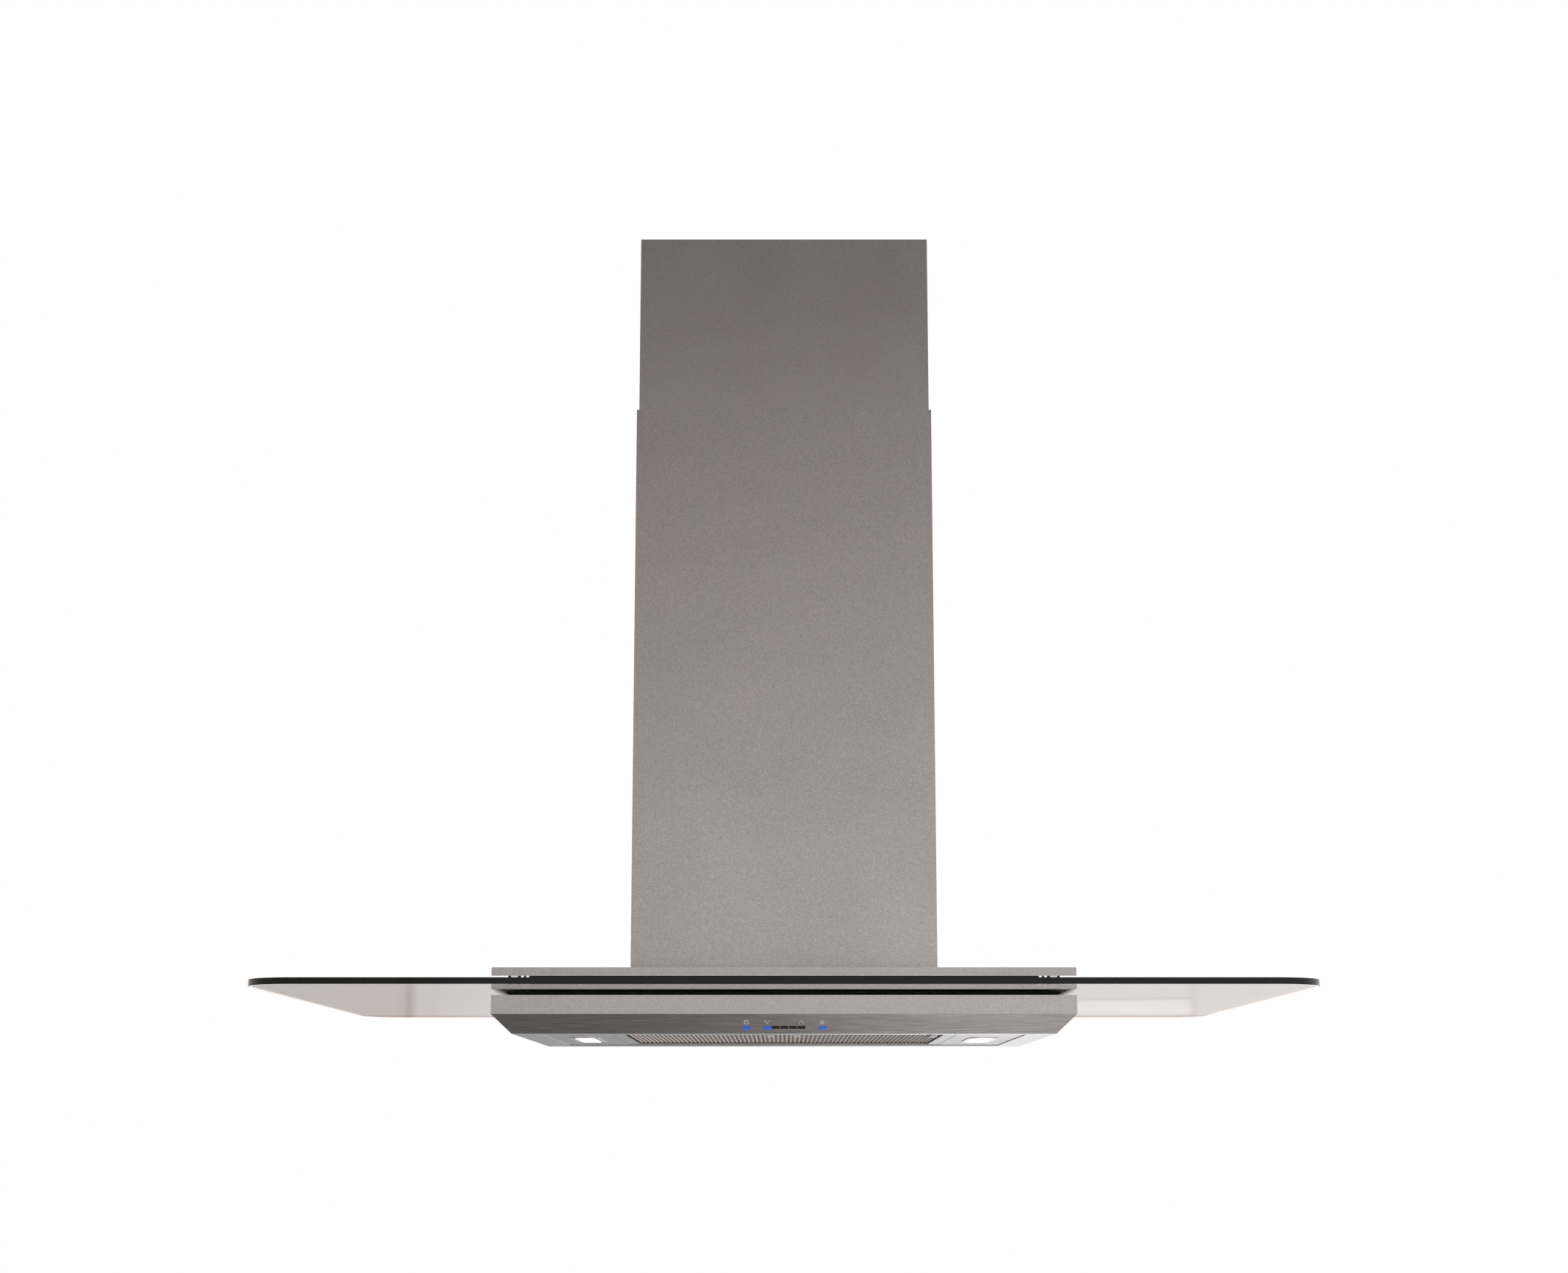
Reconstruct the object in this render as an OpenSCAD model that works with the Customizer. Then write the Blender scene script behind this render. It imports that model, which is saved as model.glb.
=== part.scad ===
// Island range hood, hung from the ceiling by a telescoping frame.
// Millimetres, +Z up, +Y to the rear. The origin is the middle of the ceiling
// plate's top face, so everything hangs at negative Z. Inside the file each
// sub-part is drawn on the hood's own levels, with the underside at 0, and
// hang() drops it to its place.

/* [Overall] */
// From the ceiling down to the underside
drop = 893; // [880:1:930]
// Sheet thickness of the hood body
sheet = 1.2; // [1:0.1:1.5]

/* [Glass canopy] */
// Glass width, left to right
glass_w = 1067; // [900:1:1200]
// Glass depth, front to rear
glass_d = 700; // [600:1:800]
// Glass thickness
glass_t = 8; // [6:1:10]
// Plan radius of the four corners
glass_corner_r = 50; // [20:1:80]

/* [Hood body] */
// Body width, left to right
body_w = 606; // [600:1:640]
// Body depth, front to rear
body_d = 428; // [424:1:460]
// Height of the vertical fascia
fascia_h = 19.5; // [18:0.5:24]
// Height and depth of the 45 degree bevel
bevel = 19.5; // [18:0.5:20]
// Width of the flat rim round the underside
rim_w = 28.5; // [28:0.5:30]
// Height of the shallow box on top of the glass, with its gasket
top_box_h = 17.5; // [16:0.5:24]

/* [Duct covers] */
// Outer width of the lower cover
cover_w = 328; // [327:1:332]
// Outer depth of the lower cover
cover_d = 280; // [279:1:284]
// Sheet thickness of both covers
cover_t = 1; // [0.8:0.1:1]
// How much the upper cover is smaller all round
cover_step = 2.5; // [2.5:0.1:2.8]
// Height of the lower cover
lower_cover_h = 624.5; // [600:0.5:630]
// How far the upper cover reaches into the lower one
cover_lap = 132; // [100:1:150]

/* [Filter] */
// Filter width, left to right
filter_w = 367.4; // [360:0.1:367.6]
// Filter depth, front to rear
filter_d = 330; // [328:0.5:330]
// Width of the filter's frame
filter_rim = 12.7; // [12:0.1:13]
// Number of ribs across the filter
rib_count = 70; // [20:1:70]

/* [Duct outlet] */
// Outer diameter of the duct collar
duct_dia = 150; // [140:1:150]
// Straight height of the collar
collar_h = 46; // [44:1:60]

/* [Ceiling mount] */
// Hole spacing left to right
bolt_x = 250; // [240:1:260]
// Hole spacing front to rear
bolt_y = 150; // [140:1:160]
// Hole diameter
bolt_dia = 8; // [6:0.5:10]

/* [Hidden] */
$fn = 48;

eps = 0.01;
// Levels above the underside
body_h = bevel + fascia_h;
gasket_low = 3;
gasket_up = 2;
gasket_in = 41.5;
bush_r = 5.9;
glass_z = body_h + gasket_low;
glass_top = glass_z + glass_t;
box_z = glass_top + gasket_up;
box_top = glass_top + top_box_h;
base_t = 3;
base_top = box_top + base_t;
cover_top = box_top + lower_cover_h;
upper_cover_z = cover_top - cover_lap;

// Plan half sizes
bw = body_w / 2;
bd = body_d / 2;
cw = cover_w / 2;
cd = cover_d / 2;
rim_x = bw - bevel - rim_w;
rim_y = bd - bevel - rim_w;
flange_w = 42;
air_x = 130;
air_y = 106;

// Frame
post_leg = 25;
post_t = 2;
post_x = cw - cover_step - cover_t - 3.5;
post_y = cd - cover_step - cover_t - 5.5;
post_gap = 0.1;
upper_post_low = 520;
lower_post_top = 640;
plate_t = 3;
plate_open = 190;
plate_x = cw - cover_step - cover_t - 0.3;
plate_y = post_y + 2;
lug_drop = 25;
cover_screw_z = drop - 12;
screw_levels = [560, 600];
cover_screw_y = 18;
rivet_x = cw - 11;
rivet_r = 1.6;
upper_levels = [for (i = [0:4]) upper_cover_z + 30 + i * (drop - upper_cover_z - 60) / 4];
lower_levels = [for (i = [0:4]) box_top + 25 + i * 105];
uw = cw - cover_step;
ud = cd - cover_step;
frame_screw_y = post_y - 13;
base_bolt_x = 153;
base_bolt_y = 60;

// Clamp bolts through the glass
clamp_points = [for (x = [-1, 0, 1], y = [-1, 1]) [x * (bw - 51), y * (bd - 31)]];

// Underside
seam_x = 184;
lamp_x = 219.5;
lamp_hole = [28, 126];
lens_size = [20, 120];
windows = [for (i = [0:4]) -17.7 + 8.95 * i];
window_x = concat([-39.5], windows, [39.7]);
window_size = [8.2, 4.2];
window_down = 18.7;
window_gap = 0.1;

// Filter
filter_z = sheet + 0.2;
filter_h = 10.5;
fx = filter_w / 2;
fy = filter_d / 2;
filter_top = filter_z + filter_h;
lip_x = fx - filter_rim;
lip_y = fy - filter_rim;
tuck = 5;
skin = 1;
grille_t = 3;
latch_x = 25.5;
latch_back = 24.5;
ear_drop = 2.2;
slider_back = -fy + 11;
slider_z = filter_z + 2.1;
knob_x = 156;
knob_y = -fy + 5.5;

// Blower
wheel_x = -53;
wheel_z = base_top + 122;
volute_r0 = 67;
volute_r1 = 98;
volute_y = 60;
volute_t = 1.5;
volute_top = wheel_z + 104;
housing_x = 138;
housing_y = 114;
housing_top = volute_top + 1.2;
wheel_r = 58;
wheel_w = 104;
shaft_r = 4;
motor_r = 38;
motor_y0 = 14;
motor_y1 = 84;
bearing_r = 8;
capacitor_at = [housing_x - 21, 40, base_top + 60];
ebox = [[-136, -70, housing_top], [-88, 70, housing_top + 44]];
gland_at = [-112, -45, ebox[1][2]];
collar_z = housing_top;
collar_r = duct_dia / 2;
pin_z = collar_z + 26;
pin_r = 2;

module hang() { translate([0, 0, -drop]) children(); }

// A box from one corner to the opposite one
module block(low, high) { translate(low) cube(high - low); }

// A box centred on the origin in plan, from z0 to z1
module slab(half_x, half_y, z0, z1) {
    block([-half_x, -half_y, z0], [half_x, half_y, z1]);
}

// A plan rectangle with true round corners
module round_rect(w, d, r) {
    square([w - 2 * r, d], center = true);
    square([w, d - 2 * r], center = true);
    for (x = [-1, 1], y = [-1, 1])
        translate([x * (w / 2 - r), y * (d / 2 - r)]) circle(r);
}

// A flat ring between two centred rectangles
module frame_ring(out_x, out_y, in_x, in_y, z0, z1) {
    difference() {
        slab(out_x, out_y, z0, z1);
        slab(in_x, in_y, z0 - 1, z1 + 1);
    }
}

// A rod along +Y from y0 to y1
module rod_y(r, y0, y1) {
    translate([0, y0, 0]) rotate([-90, 0, 0]) cylinder(r = r, h = y1 - y0);
}

/* ---- ceiling frame ---- */

module ceiling_plate() {
    color("gainsboro") hang() difference() {
        union() {
            slab(plate_x, plate_y, drop - plate_t, drop);
            for (s = [-1, 1])
                translate([s * (plate_x - 1.5), 0, drop - lug_drop / 2])
                    cube([3, 60, lug_drop], center = true);
        }
        slab(plate_open / 2, plate_open / 2, drop - plate_t - 1, drop + 1);
        for (x = [-1, 1], y = [-1, 1])
            translate([x * bolt_x / 2, y * bolt_y / 2, drop - plate_t - 1])
                cylinder(d = bolt_dia, h = plate_t + 2);
        for (y = [-cover_screw_y, cover_screw_y])
            translate([-cw, y, cover_screw_z]) rotate([0, 90, 0])
                cylinder(r = 1.8, h = cover_w);
    }
}

// One angle post in the corner (sx, sy); its outer faces are at x, y
module angle_post(sx, sy, x, y, leg, z0, z1) {
    difference() {
        union() {
            corner_block(sx, sy, [x - leg, y - post_t, z0], [x, y, z1]);
            corner_block(sx, sy, [x - post_t, y - leg, z0], [x, y, z1]);
        }
        for (z = screw_levels)
            translate([sx * (x - post_t - 1), sy * frame_screw_y, z])
                rotate([0, sx * 90, 0]) cylinder(r = 2.6, h = post_t + 2);
    }
}

// A box drawn in the +X +Y corner and mirrored into the corner (sx, sy)
module corner_block(sx, sy, low, high) {
    mirror([sx < 0 ? 1 : 0, 0, 0]) mirror([0, sy < 0 ? 1 : 0, 0]) block(low, high);
}

module upper_post(sx, sy) {
    color("lightgray") hang()
        angle_post(sx, sy, post_x, post_y, post_leg, upper_post_low, drop - plate_t);
}

module lower_post(sx, sy) {
    in = post_t + post_gap;
    color("silver") hang()
        angle_post(sx, sy, post_x - in, post_y - in, post_leg - 3, base_top, lower_post_top);
}

module frame_screws() {
    inner = post_x - 2 * post_t - post_gap;
    color("darkgray") hang() for (sx = [-1, 1], sy = [-1, 1], z = screw_levels)
        translate([0, sy * frame_screw_y, z]) rotate([0, sx * 90, 0]) {
            translate([0, 0, post_x]) cylinder(r = 4.5, h = 2.2);
            translate([0, 0, inner - 5]) cylinder(r = 2.4, h = post_x - inner + 5 + eps);
            translate([0, 0, inner - 4]) difference() {
                cylinder(r = 4.6, h = 4, $fn = 6);
                translate([0, 0, -1]) cylinder(r = 2.3, h = 6);
            }
        }
}

module base_plate() {
    color("gainsboro") hang() difference() {
        slab(cw - cover_t - 3, cd - cover_t - 3, box_top, base_top);
        slab(air_x, air_y, box_top - 1, base_top + 1);
        for (x = [-1, 1], y = [-1, 1])
            translate([x * base_bolt_x, y * base_bolt_y, box_top - 1]) cylinder(r = 2.8, h = base_t + 2);
    }
}

module base_bolts() {
    color("darkgray") hang() for (x = [-1, 1], y = [-1, 1])
        translate([x * base_bolt_x, y * base_bolt_y, 0]) {
            translate([0, 0, base_top]) cylinder(r = 4.5, h = 3.4, $fn = 6);
            translate([0, 0, box_top - 8]) cylinder(r = 2.5, h = 8 + base_t + eps);
            translate([0, 0, box_top - sheet - 4]) difference() {
                cylinder(r = 4.5, h = 4, $fn = 6);
                translate([0, 0, -1]) cylinder(r = 2.4, h = 6);
            }
        }
}

/* ---- duct covers ---- */

// Front and both sides of a cover with two return lips at the rear
module cover_shell(hx, hy, z0, z1) {
    difference() {
        slab(hx, hy, z0, z1);
        slab(hx - cover_t, hy - cover_t, z0 - 1, z1 + 1);
        block([-hx + cover_t, hy - cover_t - 1, z0 - 1], [hx - cover_t, hy + 1, z1 + 1]);
    }
    for (s = [-1, 1])
        corner_block(s, 1, [hx - 20, hy - 2 * cover_t, z0], [hx - cover_t, hy - cover_t, z1]);
}

module cover_back(hx, hy, z0, z1) {
    block([-hx + cover_t + 0.2, hy - cover_t, z0], [hx - cover_t - 0.2, hy, z1]);
}

module rivet_holes(hy, levels) {
    for (s = [-1, 1], z = levels)
        translate([s * rivet_x, 0, z]) rod_y(rivet_r, hy - 4, hy + 1);
}

module upper_cover_shell() {
    color("silver") hang() difference() {
        cover_shell(uw, ud, upper_cover_z, drop);
        rivet_holes(ud, upper_levels);
        for (y = [-cover_screw_y, cover_screw_y])
            translate([-cw, y, cover_screw_z]) rotate([0, 90, 0])
                cylinder(r = 2.1, h = cover_w);
    }
}

module upper_cover_back() {
    color("silver") hang() difference() {
        cover_back(uw, ud, upper_cover_z, drop);
        rivet_holes(ud, upper_levels);
    }
}

// Flush rivets, so that the lower cover slides past them
module upper_cover_rivets() {
    color("darkgray") hang() for (s = [-1, 1], z = upper_levels)
        translate([s * rivet_x, 0, z]) rod_y(rivet_r, ud - 2 * cover_t, ud);
}

module upper_cover_screws() {
    color("darkgray") hang() for (s = [-1, 1], y = [-cover_screw_y, cover_screw_y])
        translate([0, y, cover_screw_z]) rotate([0, s * 90, 0]) {
            translate([0, 0, uw]) cylinder(r = 3.5, h = 1.8);
            translate([0, 0, uw - 9]) cylinder(r = 1.7, h = 9 + eps);
        }
}

module lower_cover_shell() {
    color("silver") hang() difference() {
        cover_shell(cw, cd, box_top, cover_top);
        rivet_holes(cd, lower_levels);
    }
}

module lower_cover_back() {
    color("silver") hang() difference() {
        cover_back(cw, cd, box_top, cover_top);
        rivet_holes(cd, lower_levels);
    }
}

module lower_cover_rivets() {
    color("darkgray") hang() for (s = [-1, 1], z = lower_levels)
        translate([s * rivet_x, 0, z]) {
            rod_y(rivet_r, cd - 2 * cover_t, cd + eps);
            rod_y(3, cd, cd + 0.9);
        }
}

/* ---- glass canopy and its clamping ---- */

module glass_canopy() {
    color("lightcyan", 0.5) hang() difference() {
        translate([0, 0, glass_z]) linear_extrude(glass_t)
            round_rect(glass_w, glass_d, glass_corner_r);
        translate([0, 0, glass_z - 1]) linear_extrude(glass_t + 2)
            round_rect(2 * air_x + 20, 2 * air_y + 20, 20);
        for (p = clamp_points)
            translate([p[0], p[1], glass_z - 1]) cylinder(r = bush_r + 0.3, h = glass_t + 2);
    }
}

module upper_gasket() {
    color("dimgray") hang() frame_ring(bw - 3, bd - 3, bw - 16, bd - 16, glass_top, box_z);
}

// A thin pad under the glass, with a rib that stands on the body's top flange
module lower_gasket() {
    color("dimgray") hang() difference() {
        union() {
            frame_ring(bw - 15.5, bd - 7, bw - gasket_in, bd - gasket_in, glass_z - 1, glass_z);
            frame_ring(bw - gasket_in + 4, bd - gasket_in + 4, bw - gasket_in,
                bd - gasket_in, body_h, glass_z - 1 + eps);
        }
        for (p = clamp_points)
            translate([p[0], p[1], body_h - 1]) cylinder(r = bush_r + 0.3, h = gasket_low + 2);
    }
}

module top_box() {
    color("silver") hang() difference() {
        slab(bw, bd, box_z, box_top);
        slab(bw - sheet, bd - sheet, box_z + sheet, box_top - sheet);
        slab(bw - flange_w, bd - flange_w, box_z - 1, box_z + sheet + 1);
        slab(air_x, air_y, box_top - sheet - 1, box_top + 1);
        for (p = clamp_points)
            translate([p[0], p[1], box_z - 1]) cylinder(r = 3.3, h = sheet + 2);
        for (x = [-1, 1], y = [-1, 1])
            translate([x * base_bolt_x, y * base_bolt_y, box_top - sheet - 1])
                cylinder(r = 2.8, h = sheet + 2);
    }
}

// Hex bolt from inside the top box down to a nut under the body's top flange
module clamp_bolts() {
    nut_h = 5;
    head_z = box_z + sheet;
    nut_z = body_h - sheet - nut_h;
    color("darkgray") hang() for (p = clamp_points) translate([p[0], p[1], 0]) {
        translate([0, 0, head_z]) cylinder(r = 5.5, h = 4, $fn = 6);
        translate([0, 0, nut_z - 3]) cylinder(r = 3, h = head_z - nut_z + 3 + eps);
        translate([0, 0, nut_z]) difference() {
            cylinder(r = 5.5, h = nut_h, $fn = 6);
            translate([0, 0, -1]) cylinder(r = 2.9, h = nut_h + 2);
        }
    }
}

module glass_bushes() {
    color("white") hang() for (p = clamp_points) translate([p[0], p[1], body_h])
        difference() {
            cylinder(r = bush_r, h = box_z - body_h);
            translate([0, 0, -1]) cylinder(r = 3.3, h = box_z - body_h + 2);
        }
}

/* ---- hood body ---- */

// Half outline of the body's cross-section, bevel included, shrunk by t
function bevel_half(w, t) = [
    [w - bevel - t * tan(22.5), t], [w - t, bevel + t * tan(22.5)], [w - t, body_h - t]
];

// Solid with the bevel mitred at all four corners, shrunk by t all round
module mitred_solid(t) {
    module wedge(w, length) {
        half = bevel_half(w, t);
        rotate([90, 0, 0]) linear_extrude(length, center = true)
            polygon(concat(half, [for (i = [2:-1:0]) [-half[i][0], half[i][1]]]));
    }
    intersection() {
        wedge(bw, body_d + 2);
        rotate([0, 0, 90]) wedge(bd, body_w + 2);
    }
}

// Puts children on the front bevel: x along it, y up the slope, z out of it
module on_bevel(x, down) {
    slope = down / sqrt(2);
    translate([x, -bd + slope, bevel - slope]) rotate([135, 0, 0]) children();
}

module body_shell() {
    color("silver") hang() difference() {
        mitred_solid(0);
        mitred_solid(sheet);
        slab(rim_x, rim_y, -1, sheet + 1);
        slab(bw - flange_w, bd - flange_w, body_h - sheet - 1, body_h + 1);
        for (p = clamp_points)
            translate([p[0], p[1], body_h - sheet - 1]) cylinder(r = 3.3, h = sheet + 2);
        for (x = window_x) on_bevel(x, window_down)
            cube([window_size[0], window_size[1], 5], center = true);
    }
}

module indicator_windows() {
    h = sheet + 0.6;
    color("royalblue") hang() for (x = window_x) on_bevel(x, window_down)
        translate([0, 0, -h / 2])
            cube([window_size[0] - 2 * window_gap, window_size[1] - 2 * window_gap, h],
                center = true);
}

module window_carrier() {
    color("black") hang() on_bevel(0, window_down - 5) difference() {
        translate([0, 0, -sheet - 0.6 - 2]) cube([120, 20, 3.9], center = true);
        for (x = window_x) translate([x, -5, 0]) cube([6.8, 3.2, 20], center = true);
    }
}

module touch_board() {
    color("darkgreen") hang() on_bevel(0, window_down - 5)
        translate([0, 0, -sheet - 0.6 - 5]) cube([112, 18, 1.6], center = true);
}

module lamp_panel(s) {
    color("silver") hang() difference() {
        union() {
            corner_block(s, 1, [seam_x + 0.2, -rim_y - 7, sheet], [rim_x + 7, rim_y + 7, 2 * sheet]);
            corner_block(s, 1, [seam_x + 0.2, -rim_y + 1, sheet], [seam_x + 0.2 + sheet, rim_y - 1, 16]);
        }
        translate([s * lamp_x, 0, 0]) linear_extrude(10)
            round_rect(lamp_hole[0], lamp_hole[1], 8);
    }
}

module lamp_bezels() {
    color("lightgray") hang() for (s = [-1, 1]) translate([s * lamp_x, 0, 0]) difference() {
        union() {
            translate([0, 0, sheet - 1]) linear_extrude(1) round_rect(33, 131, 10);
            translate([0, 0, sheet - 0.5]) linear_extrude(9.5)
                round_rect(lamp_hole[0] - 0.4, lamp_hole[1] - 0.4, 7.8);
        }
        translate([0, 0, -1]) linear_extrude(20) round_rect(lens_size[0] + 0.4, lens_size[1] + 0.4, 6);
    }
}

module lamp_lens(s) {
    color("white") hang() translate([s * lamp_x, 0, sheet - 0.7])
        linear_extrude(3.5) round_rect(lens_size[0], lens_size[1], 5.8);
}

module led_boards() {
    color("whitesmoke") hang() for (s = [-1, 1]) translate([s * lamp_x, 0, 0]) {
        translate([0, 0, sheet + 9]) slab(13, 62, 0, 1.6);
        for (i = [-5:5]) translate([0, i * 10.5, sheet + 8.2]) slab(1.75, 1.75, 0, 0.8);
    }
}

/* ---- grease filter ---- */

// Channel frame, open inside, with two hook lugs over the rear rim
module filter_frame() {
    color("silver") hang() difference() {
        union() {
            slab(fx, fy, filter_z, filter_top);
            for (x = [-1, 1])
                translate([x * 120, fy + 2.5, filter_z + 0.6]) cube([18, 6, 1.2], center = true);
        }
        slab(fx - skin, fy - skin, filter_z + skin, filter_top - skin);
        slab(lip_x, lip_y, filter_z - 1, filter_top + 1);
        block([-19, -fy + 2.5, filter_z - 1], [19, -lip_y, filter_z + skin + 1]);
        block([-8.3, -fy - 1, filter_z + 1.9], [8.3, -fy + 2, filter_z + 4.3]);
        translate([knob_x, knob_y, filter_z - 1]) cylinder(r = 2.05, h = skin + 2);
    }
}

module latch_notch(z0, z1) {
    block([-latch_x - 0.3, -fy, z0], [latch_x + 0.3, -fy + skin + latch_back + 0.3, z1]);
}

// Pressed grille: ribs run front to rear with a slot between each pair
module filter_grille() {
    pitch = 2 * lip_x / rib_count;
    slot = pitch * 0.42;
    z0 = filter_z + skin;
    color("darkgray") hang() difference() {
        slab(lip_x + tuck, lip_y + tuck, z0, z0 + grille_t);
        for (i = [1:rib_count - 1])
            translate([-lip_x + i * pitch, 0, z0 + grille_t / 2])
                cube([slot, 2 * lip_y - 4, grille_t + 2], center = true);
        latch_notch(z0 - 1, z0 + grille_t + 1);
    }
}

// Three layers of expanded metal over the grille
module filter_mesh() {
    z0 = filter_z + skin + grille_t + 0.2;
    layer = 0.8;
    layers = 3;
    step = (filter_top - skin - 0.2 - layer - z0) / (layers - 1);
    color("dimgray") hang() for (i = [0:layers - 1]) difference() {
        slab(lip_x + tuck, lip_y + tuck, z0 + i * step, z0 + i * step + layer);
        latch_notch(z0 - 1, filter_top + 1);
    }
}

module filter_knob() {
    color("silver") hang() translate([knob_x, knob_y, 0]) {
        translate([0, 0, -ear_drop]) cylinder(r = 5.2, h = filter_z + ear_drop);
        translate([0, 0, filter_z - eps]) cylinder(r = 2, h = skin + eps);
        translate([0, 0, filter_z + skin]) cylinder(r = 2.1, h = 0.8);
    }
}

// Moulded pocket behind the frame's front bar, open below and at the nose
module latch_housing() {
    z0 = filter_z + skin;
    back = -fy + skin + latch_back;
    color("black") hang() difference() {
        block([-latch_x, -fy + skin, z0], [latch_x, back, filter_top - skin]);
        block([-21, -fy + skin + 1.2, z0 - 1], [21, back - 3, filter_top - skin - 1.5]);
        block([-8.6, -fy, z0 - 1], [8.6, -fy + skin + 3, z0 + 3.6]);
    }
}

// Slider with a nose at the front and two finger ears below
module latch_slider() {
    color("gainsboro") hang() {
        block([-19, -fy + 3.2, slider_z], [19, slider_back, slider_z + 2]);
        block([-8, -fy - 0.2, slider_z], [8, -fy + 3.3, slider_z + 2]);
        for (s = [-1, 1])
            corner_block(s, 1, [10, -fy + 4, -ear_drop], [17.8, -fy + 6.2, slider_z + eps]);
    }
}

// Two short coil springs between the slider and the back of its pocket
module latch_spring() {
    back = -fy + skin + latch_back - 3;
    turns = 6;
    color("darkgray") hang() for (x = [-14, 14], i = [0:turns - 1])
        translate([x, slider_back + 0.6 + i * (back - slider_back - 1.2) / (turns - 1),
            slider_z + 2.6]) rotate([90, 0, 0])
            rotate_extrude() translate([1.9, 0]) circle(0.3, $fn = 16);
}

/* ---- blower ---- */

module at_wheel() { translate([wheel_x, 0, wheel_z]) children(); }

// Radius of the volute's wall at an angle from the tongue round to the outlet
function volute_r(a) = volute_r0 + (volute_r1 - volute_r0) * (a - 60) / 300;

// Volute outline in the XZ plane; extra moves it outwards
function volute_outline(extra, start) = concat(
    [for (a = [start:15:360]) (volute_r(a) + extra) * [cos(a), sin(a)]],
    [[volute_r1 + extra, volute_top - wheel_z], [-2 - 1.4 * extra, volute_top - wheel_z]]
);

// A shape drawn in X and Z, run along +Y from y0 to y1
module along_y(y0, y1) {
    translate([0, y1, 0]) rotate([90, 0, 0]) linear_extrude(y1 - y0) children();
}

// Half of the volute on the +Y side
module volute_half() {
    difference() {
        along_y(0, volute_y + volute_t) polygon(volute_outline(volute_t, 75));
        along_y(-1, volute_y) polygon(concat(volute_outline(0, 60),
            [[volute_r0 * cos(60), volute_r0 * sin(60)]]));
        along_y(-1, volute_y) translate([-2, volute_top - wheel_z - 1])
            square([volute_r1 + 2, 5]);
        rod_y(50, volute_y - 1, volute_y + volute_t + 1);
    }
}

module volute_front() {
    color("dimgray") hang() at_wheel() mirror([0, 1, 0]) translate([0, 0.05, 0]) volute_half();
}

module volute_rear() {
    color("dimgray") hang() at_wheel() translate([0, 0.05, 0]) volute_half();
}

// Flared ring that guides air into the front of the wheel
module inlet_ring() {
    color("gray") hang() at_wheel() translate([0, -volute_y - volute_t - 0.1, 0])
        rotate([90, 0, 0]) rotate_extrude($fn = 64) difference() {
            translate([50, 0]) square([12, 7]);
            translate([50, 7]) circle(6);
        }
}

// Double-inlet wheel: hub disc, two end rings and forward-curved blades
module impeller() {
    blades = 32;
    color("darkslategray") hang() at_wheel() difference() {
        union() {
            rod_y(wheel_r, -1, 1);
            rod_y(12, -9, 9);
            for (s = [-1, 1]) difference() {
                rod_y(wheel_r, s * (wheel_w / 2 - 1) - 1, s * (wheel_w / 2 - 1) + 1);
                rod_y(46, s * (wheel_w / 2 - 1) - 3, s * (wheel_w / 2 - 1) + 3);
            }
            for (i = [0:blades - 1]) rotate([0, i * 360 / blades, 0])
                translate([51.6, 0, 0]) rotate([0, 32, 0])
                    cube([10.5, wheel_w - 1, 0.9], center = true);
        }
        rod_y(shaft_r + 0.05, -12, 12);
    }
}

module motor_housing() {
    color("silver") hang() at_wheel() difference() {
        union() {
            rod_y(motor_r, motor_y0, motor_y1);
            rod_y(14, motor_y0 - 3, motor_y1 + 3);
        }
        rod_y(6, motor_y0 - 4, motor_y1 + 4);
        rod_y(bearing_r + 0.1, motor_y0 - 4, motor_y0 + 4);
        rod_y(bearing_r + 0.1, motor_y1 - 4, motor_y1 + 4);
    }
}

module motor_shaft() {
    color("gray") hang() at_wheel() rod_y(shaft_r, -11, motor_y1 + 6);
}

module motor_bearings() {
    color("gray") hang() at_wheel() for (y = [motor_y0 - 3, motor_y1 - 4]) difference() {
        rod_y(bearing_r, y, y + 7);
        rod_y(shaft_r + 0.05, y - 1, y + 8);
    }
}

module motor_bracket() {
    y0 = volute_y + volute_t + 0.1;
    color("gainsboro") hang() at_wheel() {
        for (r = [[62, 54], [42, motor_r + 0.2]]) difference() {
            rod_y(r[0], y0, y0 + 3);
            rod_y(r[1], y0 - 1, y0 + 4);
        }
        for (a = [30, 150, 270]) rotate([0, a, 0]) block([41, y0, -5], [55, y0 + 3, 5]);
    }
}

module run_capacitor() {
    color("white") hang() translate(capacitor_at) {
        cylinder(r = 17, h = 56);
        translate([0, 0, 56 - eps]) cylinder(r = 9, h = 6);
    }
}

module capacitor_clip() {
    color("gainsboro") hang() translate(capacitor_at + [0, 0, 20]) difference() {
        union() {
            cylinder(r = 18.6, h = 14);
            block([17.5, -10, 0], [19.9, 10, 14]);
        }
        translate([0, 0, -1]) cylinder(r = 17.3, h = 16);
    }
}

// Sheet box round the volute, open below, with a foot flange
module blower_housing() {
    t = 1;
    color("gainsboro") hang() difference() {
        union() {
            slab(housing_x, housing_y, base_top, housing_top);
            slab(housing_x + 8, housing_y + 8, base_top, base_top + t);
        }
        slab(housing_x - t, housing_y - t, base_top - 1, housing_top - t);
        block([wheel_x - 2, -volute_y, housing_top - t - 1],
            [wheel_x + volute_r1, volute_y, housing_top + 1]);
    }
}

// Spigot for the duct, with a ledge for the closed flaps and holes for the pin
module outlet_collar() {
    color("gainsboro") hang() difference() {
        union() {
            translate([0, 0, collar_z]) slab(85, 85, 0, 1.5);
            translate([0, 0, collar_z]) cylinder(r = collar_r, h = 1.5 + collar_h);
        }
        translate([0, 0, collar_z - 1]) cylinder(r = collar_r - 1, h = pin_z - collar_z - 3);
        translate([0, 0, collar_z - 1]) cylinder(r = collar_r - 3, h = collar_h + 10);
        translate([0, 0, pin_z - 1]) cylinder(r = collar_r - 1, h = collar_h);
        translate([0, 0, pin_z]) rod_y(pin_r + 0.05, -collar_r - 5, collar_r + 5);
    }
}

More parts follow.
